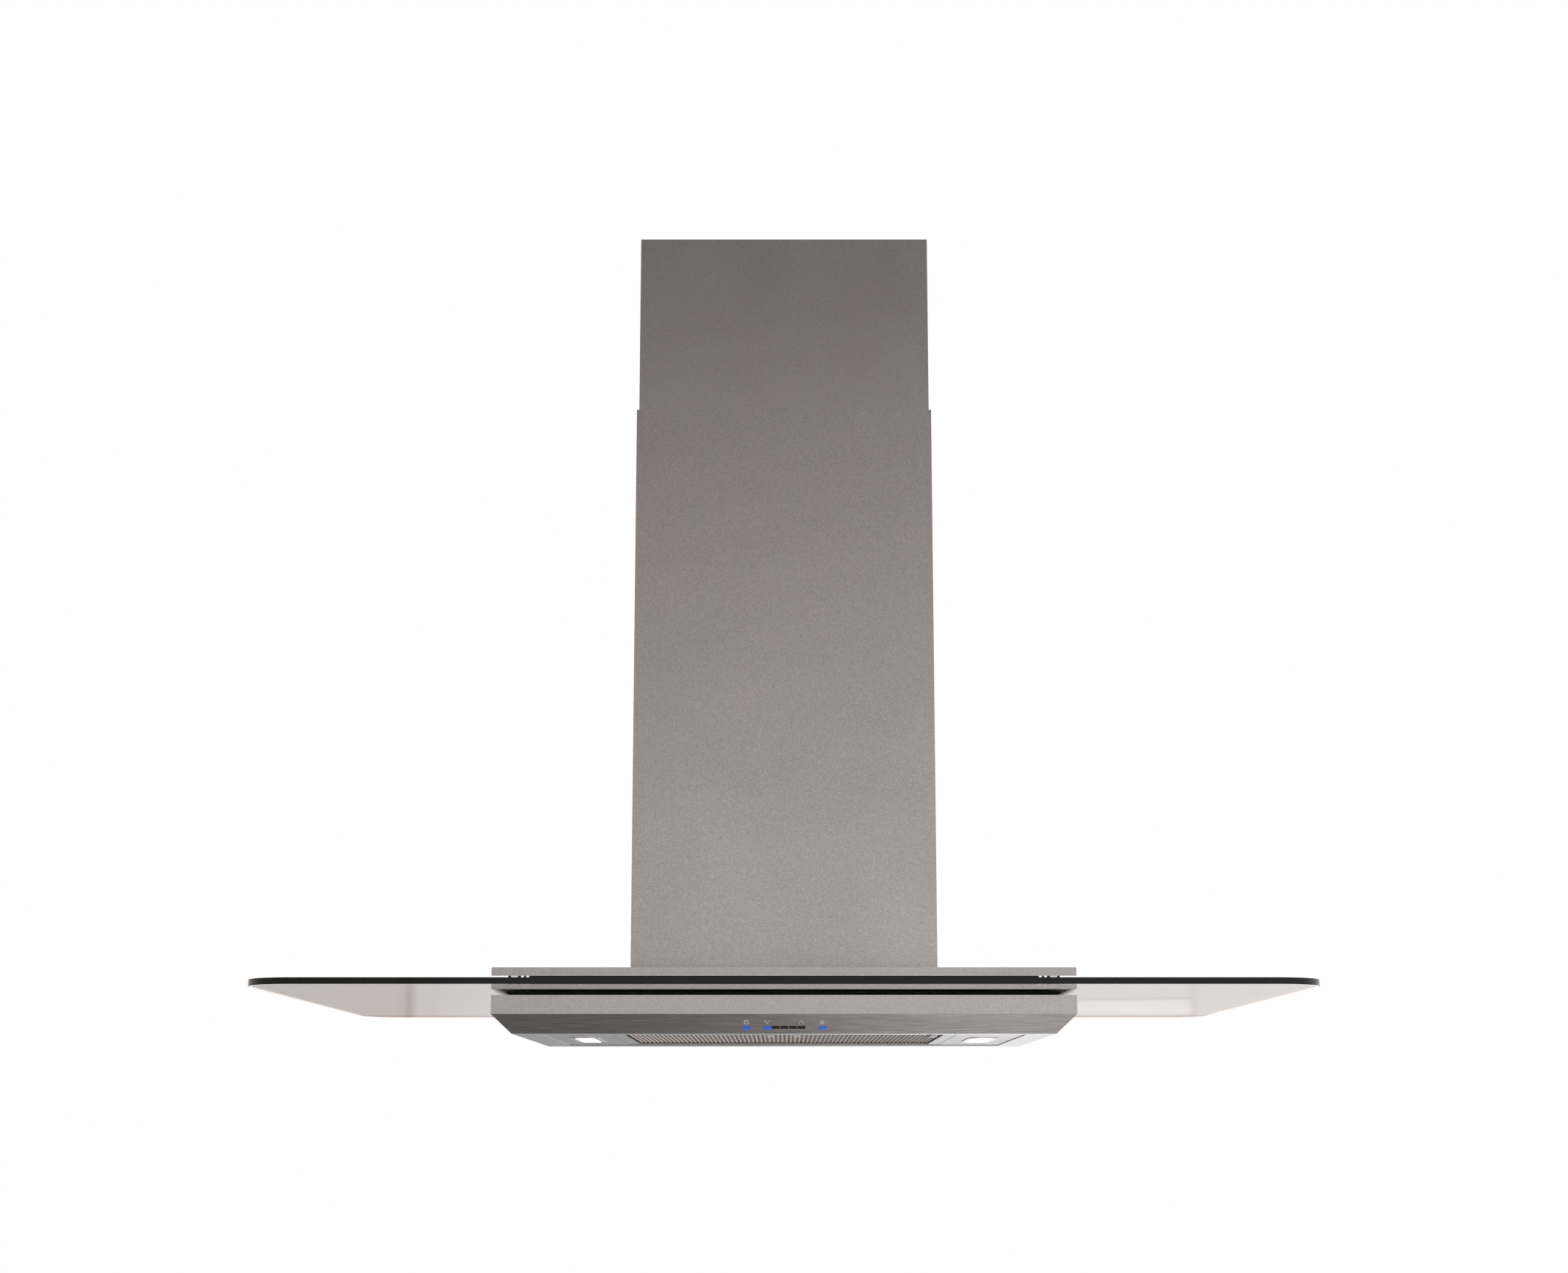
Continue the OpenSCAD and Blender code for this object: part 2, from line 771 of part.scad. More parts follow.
module damper_pin() {
    color("silver") hang() translate([0, 0, pin_z]) rod_y(pin_r, -collar_r + 0.2, collar_r - 0.2);
}

// A half-round flap on the side s, with two knuckles round the pin
module damper_flap(s) {
    flap_r = collar_r - 1.6;
    first = s < 0 ? 0 : 1;
    knuckles = [for (i = [0:3]) [-58 + i * 30, -58 + i * 30 + 26]];
    color("silver") hang() translate([0, 0, pin_z]) difference() {
        union() {
            intersection() {
                translate([0, 0, -0.5]) cylinder(r = flap_r, h = 1);
                corner_block(s, 1, [4.2, -collar_r, -1], [collar_r, collar_r, 1]);
            }
            for (i = [first, first + 2]) {
                rod_y(3.3, knuckles[i][0], knuckles[i][1]);
                corner_block(s, 1, [1, knuckles[i][0], -0.5], [5, knuckles[i][1], 0.5]);
            }
        }
        rod_y(pin_r + 0.06, -collar_r, collar_r);
    }
}

/* ---- electronics ---- */

module electronics_box() {
    t = 1.5;
    color("black") hang() difference() {
        block(ebox[0], ebox[1]);
        block(ebox[0] + [t, t, t], ebox[1] - [t, t, t]);
        translate(gland_at - [0, 0, 5]) cylinder(r = 6.1, h = 10);
    }
}

module power_board() {
    color("darkgreen") hang() {
        block([-133, -66, housing_top + 6], [-91, 66, housing_top + 7.6]);
        block([-128, 10, housing_top + 7.6], [-100, 44, housing_top + 30]);
        translate([-112, -2, housing_top + 7.6]) cylinder(r = 7, h = 22);
    }
}

module cable_gland() {
    color("dimgray") hang() translate(gland_at) difference() {
        union() {
            cylinder(r = 9, h = 5, $fn = 6);
            translate([0, 0, 4.9]) cylinder(r = 7.6, h = 9);
            translate([0, 0, -8]) cylinder(r = 6, h = 8.1);
        }
        translate([0, 0, -10]) cylinder(r = 3.75, h = 30);
    }
}

/* ---- what is drawn ---- */

ceiling_plate();
upper_post(-1, -1);  // upper_post_front_left
upper_post(1, -1);  // upper_post_front_right
upper_post(-1, 1);  // upper_post_rear_left
upper_post(1, 1);  // upper_post_rear_right
lower_post(-1, -1);  // lower_post_front_left
lower_post(1, -1);  // lower_post_front_right
lower_post(-1, 1);  // lower_post_rear_left
lower_post(1, 1);  // lower_post_rear_right
frame_screws();
base_plate();
base_bolts();
upper_cover_shell();
upper_cover_back();
upper_cover_rivets();
upper_cover_screws();
lower_cover_shell();
lower_cover_back();
lower_cover_rivets();
glass_canopy();
upper_gasket();
lower_gasket();
top_box();
clamp_bolts();
glass_bushes();
body_shell();
lamp_panel(-1);  // lamp_panel_left
lamp_panel(1);  // lamp_panel_right
lamp_bezels();
lamp_lens(-1);  // lamp_lens_left
lamp_lens(1);  // lamp_lens_right
led_boards();
indicator_windows();
window_carrier();
touch_board();
filter_frame();
filter_grille();
filter_mesh();
filter_knob();
latch_housing();
latch_slider();
latch_spring();
blower_housing();
volute_front();
volute_rear();
inlet_ring();
impeller();
motor_housing();
motor_shaft();
motor_bearings();
motor_bracket();
run_capacitor();
capacitor_clip();
outlet_collar();
damper_pin();
damper_flap(-1);  // damper_flap_left
damper_flap(1);  // damper_flap_right
electronics_box();
power_board();
cable_gland();
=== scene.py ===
"""Looks of an island range hood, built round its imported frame.

The hood hangs from a ceiling plate: a telescoping duct cover, a shallow box, a flat glass
canopy and a slim bevelled body with touch controls, two bar lamps and a grease filter. The
frame's nodes keep their shapes. The canopy, the grille, the expanded mesh, the latch springs
and the printed symbols are surfaces worked out here.
"""

import logging
import math
from dataclasses import dataclass
from enum import Enum
from typing import Any, ClassVar

import bpy
import numpy as np
from mathutils import Euler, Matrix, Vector


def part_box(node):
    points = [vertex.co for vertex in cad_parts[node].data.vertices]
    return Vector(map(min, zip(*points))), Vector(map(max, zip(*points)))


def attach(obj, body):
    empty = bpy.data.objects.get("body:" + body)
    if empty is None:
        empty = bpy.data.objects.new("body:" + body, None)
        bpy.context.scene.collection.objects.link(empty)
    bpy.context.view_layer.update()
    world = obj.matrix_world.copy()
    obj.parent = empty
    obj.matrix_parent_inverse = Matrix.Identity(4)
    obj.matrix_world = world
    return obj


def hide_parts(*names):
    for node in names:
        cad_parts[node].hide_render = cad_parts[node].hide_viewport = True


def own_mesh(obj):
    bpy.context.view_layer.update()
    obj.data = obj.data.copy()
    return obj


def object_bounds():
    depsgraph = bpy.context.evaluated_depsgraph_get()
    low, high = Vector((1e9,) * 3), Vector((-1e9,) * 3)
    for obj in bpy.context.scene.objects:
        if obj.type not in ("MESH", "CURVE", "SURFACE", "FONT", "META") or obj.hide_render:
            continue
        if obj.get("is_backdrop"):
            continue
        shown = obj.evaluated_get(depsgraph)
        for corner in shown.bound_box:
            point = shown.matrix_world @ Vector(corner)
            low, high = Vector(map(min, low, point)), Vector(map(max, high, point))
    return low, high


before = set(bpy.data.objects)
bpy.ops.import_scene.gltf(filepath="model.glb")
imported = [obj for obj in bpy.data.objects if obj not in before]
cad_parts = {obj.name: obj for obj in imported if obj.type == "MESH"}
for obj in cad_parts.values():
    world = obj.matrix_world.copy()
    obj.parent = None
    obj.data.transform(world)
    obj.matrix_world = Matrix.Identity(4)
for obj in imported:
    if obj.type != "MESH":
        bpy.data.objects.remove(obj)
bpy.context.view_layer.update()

log = logging.getLogger("hood")

MM = 0.001
SQRT2 = math.sqrt(2)
GLASS_IOR = 1.52

Array = np.ndarray
Curve = list[tuple[float, float, float]]
RIGHT, AHEAD, UP = (1, 0, 0), (0, -1, 0), (0, 0, 1)


# ---------------------------------------------------------------- meshes


@dataclass
class Surface:
    """Points and quads of one shape, with a material number for each quad."""

    points: Array
    quads: Array
    finish: Array

    @staticmethod
    def join(parts: list["Surface"]) -> "Surface":
        """Puts several surfaces into one, moving each one's point numbers up.

        Args:
            parts: the surfaces.

        Returns:
            The one surface.
        """
        starts = np.cumsum([0] + [len(p.points) for p in parts[:-1]])
        return Surface(
            np.concatenate([p.points for p in parts]),
            np.concatenate([p.quads + s for p, s in zip(parts, starts)]),
            np.concatenate([p.finish for p in parts]),
        )


def grid_quads(rows: int, columns: int, wrap_rows: bool, wrap_columns: bool) -> Array:
    """Quads of a grid of points numbered row by row.

    Args:
        rows: points along the first parameter.
        columns: points along the second parameter.
        wrap_rows: whether the last row joins the first.
        wrap_columns: whether the last column joins the first.

    Returns:
        One row of four point numbers for each quad.
    """
    i = np.arange(rows if wrap_rows else rows - 1)[:, None]
    j = np.arange(columns if wrap_columns else columns - 1)[None, :]
    i2, j2 = (i + 1) % rows, (j + 1) % columns
    corners = [i * columns + j, i2 * columns + j, i2 * columns + j2, i * columns + j2]
    return np.stack([np.broadcast_to(c, (i.size, j.size)) for c in corners], -1).reshape(-1, 4)


def sweep(path: Array, side: Array, up: Array, profile: Array, closed: bool) -> Surface:
    """Carries a closed profile along a path.

    Point (i, j) is path[i] + profile[j].x * side[i] + profile[j].y * up[i]. An open path is
    closed by a fan of quads over each end, folded about the profile's first point.

    Args:
        path: n points.
        side: n unit vectors, the profile's x direction at each point.
        up: n unit vectors, the profile's y direction.
        profile: m points in the plane, anticlockwise seen against the path's direction.
        closed: whether the path runs back to its start.

    Returns:
        The swept surface.
    """
    m = len(profile)
    points = (
        path[:, None]
        + profile[None, :, :1] * side[:, None]
        + profile[None, :, 1:] * up[:, None]
    ).reshape(-1, 3)
    quads = grid_quads(len(path), m, closed, True)
    if not closed:
        k = np.arange(1, m - 1, 2)
        fan = np.stack([0 * k, k, k + 1, np.minimum(k + 2, m - 1)], -1)
        last = fan[:, ::-1] + (len(path) - 1) * m
        quads = np.concatenate([quads, fan, last])
    return Surface(points, quads, np.zeros(len(quads), int))


def along(start: Array, way: Array, length: float, steps: int) -> Array:
    """Points from start along a unit vector, evenly spaced over a length."""
    return start + np.linspace(0, length, steps)[:, None] * way


def still(vector: tuple[float, float, float], count: int) -> Array:
    """The same vector for each of count points."""
    return np.tile(np.array(vector, float), (count, 1))


def ring(radius: float, count: int, start: float = 0.0) -> Array:
    """Points of a circle: radius * (cos a, sin a) for count even angles."""
    a = start + np.arange(count) * 2 * math.pi / count
    return radius * np.stack([np.cos(a), np.sin(a)], -1)


def box_profile(width: float, low: float, high: float) -> Array:
    """Corners of a rectangle, anticlockwise: centred across, from low to high."""
    w = width / 2
    return np.array([[-w, low], [w, low], [w, high], [-w, high]])


def rounded_outline(
    width: float, depth: float, radius: float, arc: int, run: int
) -> tuple[Array, Array]:
    """Outline of a rectangle with round corners, with its outward directions.

    Each corner is an arc: centre + radius * (cos a, sin a), with a running through 90 degrees,
    and its last point then walks in even steps to the next corner's first.

    Args:
        width: size along X.
        depth: size along Y.
        radius: of the corners.
        arc: points on each corner's arc.
        run: points between one arc and the next.

    Returns:
        The points, anticlockwise from above, and the unit vector out of each.
    """
    a = np.arange(4)[:, None] * math.pi / 2 + np.linspace(0, math.pi / 2, arc)
    out = np.stack([np.cos(a), np.sin(a)], -1)
    signs = np.array([[1, 1], [-1, 1], [-1, -1], [1, -1]])[:, None]
    curve = signs * (np.array([width, depth]) / 2 - radius) + radius * out
    share = np.linspace(0, 1, run + 2)[1:-1, None]
    straight = curve[:, -1:] * (1 - share) + np.roll(curve, -1, 0)[:, :1] * share
    level = np.broadcast_to(out[:, -1:], straight.shape)
    points = np.concatenate([curve, straight], 1).reshape(-1, 2)
    return points, np.concatenate([out, level], 1).reshape(-1, 2)


def build(name: str, shape: Surface, finishes: list[bpy.types.Material]) -> bpy.types.Object:
    """Makes an object from a surface, with its object at the origin.

    Args:
        name: of the object and its mesh.
        shape: points in metres, in the frame's own axes.
        finishes: materials, in the order of the surface's finish numbers.

    Returns:
        The new object.
    """
    mesh = bpy.data.meshes.new(name)
    mesh.from_pydata(shape.points.tolist(), [], shape.quads.tolist())
    mesh.polygons.foreach_set("material_index", shape.finish.astype(np.int32))
    for material in finishes:
        mesh.materials.append(material)
    mesh.validate()
    mesh.update()
    piece = bpy.data.objects.new(name, mesh)
    bpy.context.scene.collection.objects.link(piece)
    return piece


def smooth(piece: bpy.types.Object, angle: float = 30.0) -> None:
    """Shades a piece smooth, but for edges sharper than an angle in degrees."""
    piece.data.shade_smooth()
    piece.data.set_sharp_from_angle(angle=math.radians(angle))


# -------------------------------------------------------------- finishes


def linear(code: str) -> tuple[float, float, float, float]:
    """Turns an sRGB hex colour into the linear colour that a shader takes.

    Args:
        code: six hex digits after a hash sign.

    Returns:
        Linear red, green and blue, and an alpha of 1.
    """
    s = np.array([int(code[i : i + 2], 16) for i in (1, 3, 5)]) / 255
    r, g, b = np.where(s <= 0.04045, s / 12.92, ((s + 0.055) / 1.055) ** 2.4)
    return float(r), float(g), float(b), 1.0


def shade(code: str, factor: float) -> tuple[float, ...]:
    """Brightens or dims an sRGB hex colour by a factor, no further than white."""
    return tuple(min(1.0, c * factor) for c in linear(code)[:3]) + (1.0,)


def feed(node: bpy.types.Node, inputs: dict[Any, Any]) -> None:
    """Sets a node's inputs.

    Args:
        node: the node.
        inputs: for each input's name or number, a value or the socket that feeds it.
    """
    for key, value in inputs.items():
        if isinstance(value, bpy.types.NodeSocket):
            node.id_data.links.new(value, node.inputs[key])
        else:
            node.inputs[key].default_value = value


def add(
    tree: bpy.types.NodeTree,
    kind: str,
    inputs: dict[Any, Any] | None = None,
    **settings: Any,
) -> bpy.types.Node:
    """Adds one node with its settings, values and links.

    Args:
        tree: the node tree.
        kind: the node's class without its prefix, such as TexNoise.
        inputs: for each input, a value or the socket that feeds it.
        settings: the node's own properties.

    Returns:
        The node.
    """
    node = tree.nodes.new("ShaderNode" + kind)
    for key, value in settings.items():
        setattr(node, key, value)
    feed(node, inputs or {})
    return node


def ramp(tree: bpy.types.NodeTree, value: Any, stops: list[tuple[float, Any]]) -> Any:
    """Adds a colour ramp over a value and returns its colour socket.

    Args:
        tree: the node tree.
        value: the socket that drives the ramp.
        stops: places from 0 to 1, each with a grey level or a colour of four numbers.

    Returns:
        The ramp's colour output.
    """
    node = add(tree, "ValToRGB", {0: value})
    line = node.color_ramp
    while len(line.elements) < len(stops):
        line.elements.new(0.5)
    for element, (place, colour) in zip(line.elements, stops):
        element.position = place
        element.color = colour if isinstance(colour, tuple) else (colour,) * 3 + (1,)
    return node.outputs[0]


def mix(tree: bpy.types.NodeTree, share: Any, a: Any, b: Any, blend: str = "MIX") -> Any:
    """Mixes two colours and returns the socket with the result.

    Args:
        tree: the node tree.
        share: how far to go from the first to the second.
        a: the first colour, or its socket.
        b: the second colour, or its socket.
        blend: how the two meet.

    Returns:
        The colour output.
    """
    inputs = {0: share, 6: a, 7: b}
    return add(tree, "Mix", inputs, data_type="RGBA", blend_type=blend).outputs[2]


def times(tree: bpy.types.NodeTree, first: Any, *others: Any) -> Any:
    """Multiplies colours.

    Args:
        tree: the node tree.
        first: a colour's socket.
        others: more colours, or their sockets.

    Returns:
        The product's socket.
    """
    for other in others:
        first = mix(tree, 1.0, first, other, "MULTIPLY")
    return first


class Grain(Enum):
    """Which way a finish's grain runs, as the stretch of its pattern per axis."""

    EVEN = (1.0, 1.0, 1.0)
    ALONG_Y = (1.0, 0.02, 1.0)


@dataclass(frozen=True)
class Finish:
    """What every finish has: its name, and the start of its material."""

    name: str

    def start(self) -> tuple[bpy.types.Material, bpy.types.NodeTree, Any, Any]:
        """Makes an empty material with a shader.

        Returns:
            The material, its tree, its Principled shader and the object coordinates.
        """
        material = bpy.data.materials.new(self.name)
        material.use_nodes = True
        tree = material.node_tree
        tree.nodes.clear()
        shader = add(tree, "BsdfPrincipled")
        add(tree, "OutputMaterial", {0: shader.outputs[0]})
        place = add(tree, "TexCoord").outputs["Object"]
        return material, tree, shader, place


@dataclass(frozen=True)
class Stainless(Finish):
    """Satin stainless sheet, type 430, belt-ground: a warm grey with a fine even grain.

    The grit leaves marks 0.1 mm wide, drawn 0.9 mm wide so that they show.
    """

    colour: str = "#c9c4c2"
    roughness: float = 0.34
    unevenness: float = 0.03
    grain_mm: float = 0.9
    contrast: float = 0.22

    def grit(self, tree: bpy.types.NodeTree, place: Any) -> Any:
        """Noise as wide as the drawn grain, the same in every direction."""
        return add(tree, "TexNoise", {
            "Vector": place, "Scale": 1 / (self.grain_mm * MM), "Detail": 2.0, "Roughness": 0.6,
        }).outputs[0]

    def grained(self, tree: bpy.types.NodeTree, grit: Any, colour: str) -> Any:
        """A colour that the grit dims and brightens by the finish's contrast."""
        dark, light = shade(colour, 1 - self.contrast), shade(colour, 1 + self.contrast)
        return ramp(tree, grit, [(0.3, dark), (0.7, light)])

    def make(self) -> bpy.types.Material:
        """Builds the material.

        Returns:
            The material.
        """
        material, tree, shader, place = self.start()
        fine = self.grit(tree, place)
        cloud = add(tree, "TexNoise", {"Vector": place, "Scale": 7.0, "Detail": 2.0}).outputs[0]
        low, high = self.roughness - self.unevenness, self.roughness + self.unevenness
        rough = add(tree, "MapRange", {0: cloud, 1: 0.3, 2: 0.7, 3: low, 4: high})
        bump = add(tree, "Bump", {"Height": fine, "Strength": 0.05, "Distance": 0.1 * MM})
        feed(shader, {"Base Color": self.grained(tree, fine, self.colour), "Metallic": 1.0,
                      "Roughness": rough.outputs[0], "Normal": bump.outputs[0]})
        return material


@dataclass(frozen=True)
class BevelledStainless(Stainless):
    """The body's sheet: satin on the fascia, long brush lines on the bevel, paler underneath.

    Which of the three a point gets follows from how far its face looks down. The bevel's darker
    tone is painted shade, and the paler, bluish grey underneath is painted light.
    """

    # Painted light: faces that look straight down take this paler, bluish grey.
    rim_painted_light_colour: str = "#d5d5da"
    # Painted shade: the bevel's brushed colour is dimmed by this factor.
    bevel_painted_shade: float = 0.85
    bevel_roughness: float = 0.22
    brush_mm: float = 0.45
    brush_stretch: float = 0.014
    brush_tones: tuple[tuple[float, float], ...] = ((0.3, 0.64), (0.5, 1.0), (0.72, 1.42))
    bevel_facing: tuple[float, float] = (-0.3, -0.6)
    rim_facing: tuple[float, float] = (-0.95, -0.8)

    def make(self) -> bpy.types.Material:
        """Builds the material.

        Returns:
            The material.
        """
        material, tree, shader, place = self.start()
        facing = add(tree, "SeparateXYZ", {0: add(tree, "TexCoord").outputs["Normal"]}).outputs[2]
        slopes, not_under = [
            add(tree, "MapRange", {0: facing, 1: start, 2: end}).outputs[0]
            for start, end in (self.bevel_facing, self.rim_facing)
        ]
        bevel = add(tree, "Math", {0: slopes, 1: not_under}, operation="MULTIPLY").outputs[0]
        fine = self.grit(tree, place)
        lines = add(tree, "Mapping", {0: place, "Scale": (self.brush_stretch, 1.0, 1.0)})
        brush = add(tree, "TexNoise", {
            "Vector": lines.outputs[0], "Scale": 1 / (self.brush_mm * MM), "Detail": 3.0,
            "Roughness": 0.7,
        }).outputs[0]
        # The bevel's brush lines, dimmed by the painted shade.
        brush_and_painted_shade = ramp(tree, brush, [(p, shade(self.colour, tone * self.bevel_painted_shade))
                                   for p, tone in self.brush_tones])
        sides = mix(tree, bevel, self.grained(tree, fine, self.colour), brush_and_painted_shade)
        # Painted light: faces that look down take the paler rim colour.
        tone = mix(tree, not_under, self.grained(tree, fine, self.rim_painted_light_colour), sides)
        rough = add(tree, "MapRange", {0: bevel, 3: self.roughness, 4: self.bevel_roughness})
        relief = add(tree, "Mix", {0: bevel, 2: fine, 3: brush}).outputs[0]
        bump = add(tree, "Bump", {"Height": relief, "Strength": 0.06, "Distance": 0.1 * MM})
        feed(shader, {"Base Color": tone, "Metallic": 1.0, "Roughness": rough.outputs[0],
                      "Normal": bump.outputs[0]})
        return material


@dataclass(frozen=True)
class FloatGlass(Finish):
    """Clear toughened float glass: a faint green cast and a few faint wipe marks."""

    tint: str = "#f8faf8"
    wipe_roughness: float = 0.02

    def make(self) -> bpy.types.Material:
        """Builds the material.

        Returns:
            The material.
        """
        material, tree, shader, place = self.start()
        wipe = add(tree, "TexNoise", {"Vector": place, "Scale": 6.0, "Detail": 3.0}).outputs[0]
        rough = add(tree, "MapRange", {0: wipe, 1: 0.45, 2: 0.75, 3: 0.0, 4: self.wipe_roughness})
        feed(shader, {"Base Color": linear(self.tint), "Roughness": rough.outputs[0],
                      "IOR": GLASS_IOR, "Transmission Weight": 1.0})
        return material


@dataclass(frozen=True)
class GlassEdge(Finish):
    """Polished edge of float glass: the long way through the sheet turns it black-green."""

    deep: str = "#0c110d"
    shallow: str = "#161c17"

    def make(self) -> bpy.types.Material:
        """Builds the material.

        Returns:
            The material.
        """
        material, tree, shader, place = self.start()
        drift = add(tree, "TexNoise", {"Vector": place, "Scale": 14.0, "Detail": 2.0}).outputs[0]
        tone = ramp(tree, drift, [(0.3, linear(self.deep)), (0.7, linear(self.shallow))])
        rough = add(tree, "MapRange", {0: drift, 3: 0.06, 4: 0.14})
        feed(shader, {"Base Color": tone, "Roughness": rough.outputs[0], "IOR": GLASS_IOR,
                      "Specular IOR Level": 0.25})
        return material


@dataclass(frozen=True)
class GlassArris(Finish):
    """Ground and polished arris with painted light: white and glowing where the sheet behind it
    is clear, dark where it's not.

    The boxes stand behind it over the middle, so painted shade keeps it dark there, with a few
    painted gleams, small highlights, just inside the boxes' ends. Each gleam is (from, to,
    brightness), with |x| in mm.
    """

    # Painted light and shade: the lit white, the dark over the boxes, the glow it emits.
    lit: str = "#fbf8f6"
    dark: str = "#141715"
    glow: float = 0.75
    painted_light_from_mm: float = 269.5
    painted_gleams: tuple[tuple[float, float, float], ...] = (
        (249.2, 251.5, 1.0), (254.3, 256.6, 1.0), (260.0, 266.5, 0.7))
    reach_mm: tuple[float, float] = (245.0, 272.0)
    soft_mm: float = 0.4

    def make(self) -> bpy.types.Material:
        """Builds the material.

        Returns:
            The material.
        """
        material, tree, shader, place = self.start()
        x = add(tree, "SeparateXYZ", {0: place}).outputs[0]
        out = add(tree, "Math", {0: x}, operation="ABSOLUTE").outputs[0]
        low, high = self.reach_mm
        share = add(tree, "MapRange", {0: out, 1: low * MM, 2: high * MM}).outputs[0]
        steps = [(low, 0.0)]
        for start, end, level in self.painted_gleams:
            steps += [(start - self.soft_mm, 0.0), (start, level), (end, level),
                      (end + self.soft_mm, 0.0)]
        steps += [(self.painted_light_from_mm - self.soft_mm, 0.0), (self.painted_light_from_mm, 1.0)]
        # Painted light by |x|: 0 in painted shade over the boxes, 1 where painted lit.
        clear = ramp(tree, share, [((x - low) / (high - low), v) for x, v in steps])
        speck = add(tree, "TexNoise", {"Vector": place, "Scale": 900.0}).outputs[0]
        tone = ramp(tree, clear, [(0.0, linear(self.dark)), (1.0, linear(self.lit))])
        # Painted glow: the arris emits its own colour where it is painted lit.
        glow = add(tree, "MapRange", {0: clear, 3: 0.0, 4: self.glow})
        rough = add(tree, "MapRange", {0: speck, 3: 0.15, 4: 0.35})
        feed(shader, {"Base Color": tone, "Roughness": rough.outputs[0],
                      "Emission Color": tone, "Emission Strength": glow.outputs[0]})
        return material


@dataclass(frozen=True)
class Speckled(Finish):
    """A solid finish with a fine two-tone speckle, its grain as wide as the real one's.

    It serves moulded plastic, plated steel, rubber foam, aluminium, ink and solder resist,
    which differ in colour, metal, gloss and the size and depth of their grain.
    """

    dark: str
    light: str
    metallic: float = 0.0
    roughness: float = 0.5
    spread: float = 0.08
    grain_mm: float = 0.6
    grain: Grain = Grain.EVEN
    bump: float = 0.15

    def make(self) -> bpy.types.Material:
        """Builds the material.

        Returns:
            The material.
        """
        material, tree, shader, place = self.start()
        stretched = add(tree, "Mapping", {0: place, "Scale": self.grain.value}).outputs[0]
        speck = add(tree, "TexNoise", {"Vector": stretched, "Scale": 1 / (self.grain_mm * MM),
                                       "Detail": 3.0}).outputs[0]
        tone = ramp(tree, speck, [(0.32, linear(self.dark)), (0.68, linear(self.light))])
        low, high = self.roughness - self.spread, self.roughness + self.spread
        rough = add(tree, "MapRange", {0: speck, 1: 0.3, 2: 0.7, 3: low, 4: high})
        bump = add(tree, "Bump", {"Height": speck, "Strength": self.bump,
                                  "Distance": 0.2 * self.grain_mm * MM})
        feed(shader, {"Base Color": tone, "Metallic": self.metallic,
                      "Roughness": rough.outputs[0], "Normal": bump.outputs[0]})
        return material


@dataclass(frozen=True)
class ZincSheet(Finish):
    """Hot-dip galvanised sheet: cool grey crystals 6 mm across, each with its own shine."""

    dark: str = "#a9acae"
    light: str = "#c6c8c9"
    spangle_mm: float = 6.0

    def make(self) -> bpy.types.Material:
        """Builds the material.

        Returns:
            The material.
        """
        material, tree, shader, place = self.start()
        cell = add(tree, "TexVoronoi", {"Vector": place, "Scale": 1 / (self.spangle_mm * MM)})
        level = add(tree, "SeparateColor", {0: cell.outputs["Color"]}).outputs[0]
        tone = ramp(tree, level, [(0.0, linear(self.dark)), (1.0, linear(self.light))])
        rough = add(tree, "MapRange", {0: level, 3: 0.32, 4: 0.5})
        feed(shader, {"Base Color": tone, "Metallic": 1.0, "Roughness": rough.outputs[0]})
        return material


@dataclass(frozen=True)
class LampDiffuser(Finish):
    """Frosted acrylic over a row of light diodes: nearly white, a little brighter over each."""

    glow: str = "#fffdf8"
    sheet: str = "#f4f4f0"
    strength: float = 4.0
    ripple: float = 0.15
    pitch_mm: float = 10.5

    def make(self) -> bpy.types.Material:
        """Builds the material.

        Returns:
            The material.
        """
        material, tree, shader, place = self.start()
        y = add(tree, "SeparateXYZ", {0: place}).outputs[1]
        turns = 2 * math.pi / (self.pitch_mm * MM)
        wave = add(tree, "Math", {0: y, 1: turns}, operation="MULTIPLY").outputs[0]
        crest = add(tree, "Math", {0: wave}, operation="COSINE").outputs[0]
        low, high = self.strength * (1 - self.ripple), self.strength * (1 + self.ripple)
        glow = add(tree, "MapRange", {0: crest, 1: -1.0, 2: 1.0, 3: low, 4: high})
        feed(shader, {"Base Color": linear(self.sheet), "Roughness": 0.4,
                      "Emission Color": linear(self.glow), "Emission Strength": glow.outputs[0]})
        return material


@dataclass(frozen=True)
class IndicatorLens(Finish):
    """Smoked acrylic windows: three lit blue from behind, the others nearly black."""

    lit_x_mm: tuple[float, ...] = (-39.5, -17.7, 39.7)
    reach_mm: float = 4.5
    glow: str = "#1a4fc2"
    blue: str = "#1c48b0"
    smoke: tuple[str, str] = ("#201f1e", "#2b2a29")

    def make(self) -> bpy.types.Material:
        """Builds the material.

        Returns:
            The material.
        """
        material, tree, shader, place = self.start()
        x = add(tree, "SeparateXYZ", {0: place}).outputs[0]
        near = [add(tree, "Math", {0: x, 1: c * MM, 2: self.reach_mm * MM},
                    operation="COMPARE").outputs[0] for c in self.lit_x_mm]
        two = add(tree, "Math", {0: near[0], 1: near[1]}, operation="MAXIMUM").outputs[0]
        lit = add(tree, "Math", {0: two, 1: near[2]}, operation="MAXIMUM").outputs[0]
        frost = add(tree, "TexNoise", {"Vector": place, "Scale": 1500.0}).outputs[0]
        dark, light = self.smoke
        smoke = ramp(tree, frost, [(0.3, linear(dark)), (0.7, linear(light))])
        feed(shader, {"Base Color": mix(tree, lit, smoke, linear(self.blue)),
                      "Emission Color": mix(tree, lit, (0, 0, 0, 1), linear(self.glow)),
                      "Emission Strength": 1.0, "Roughness": 0.22})
        return material


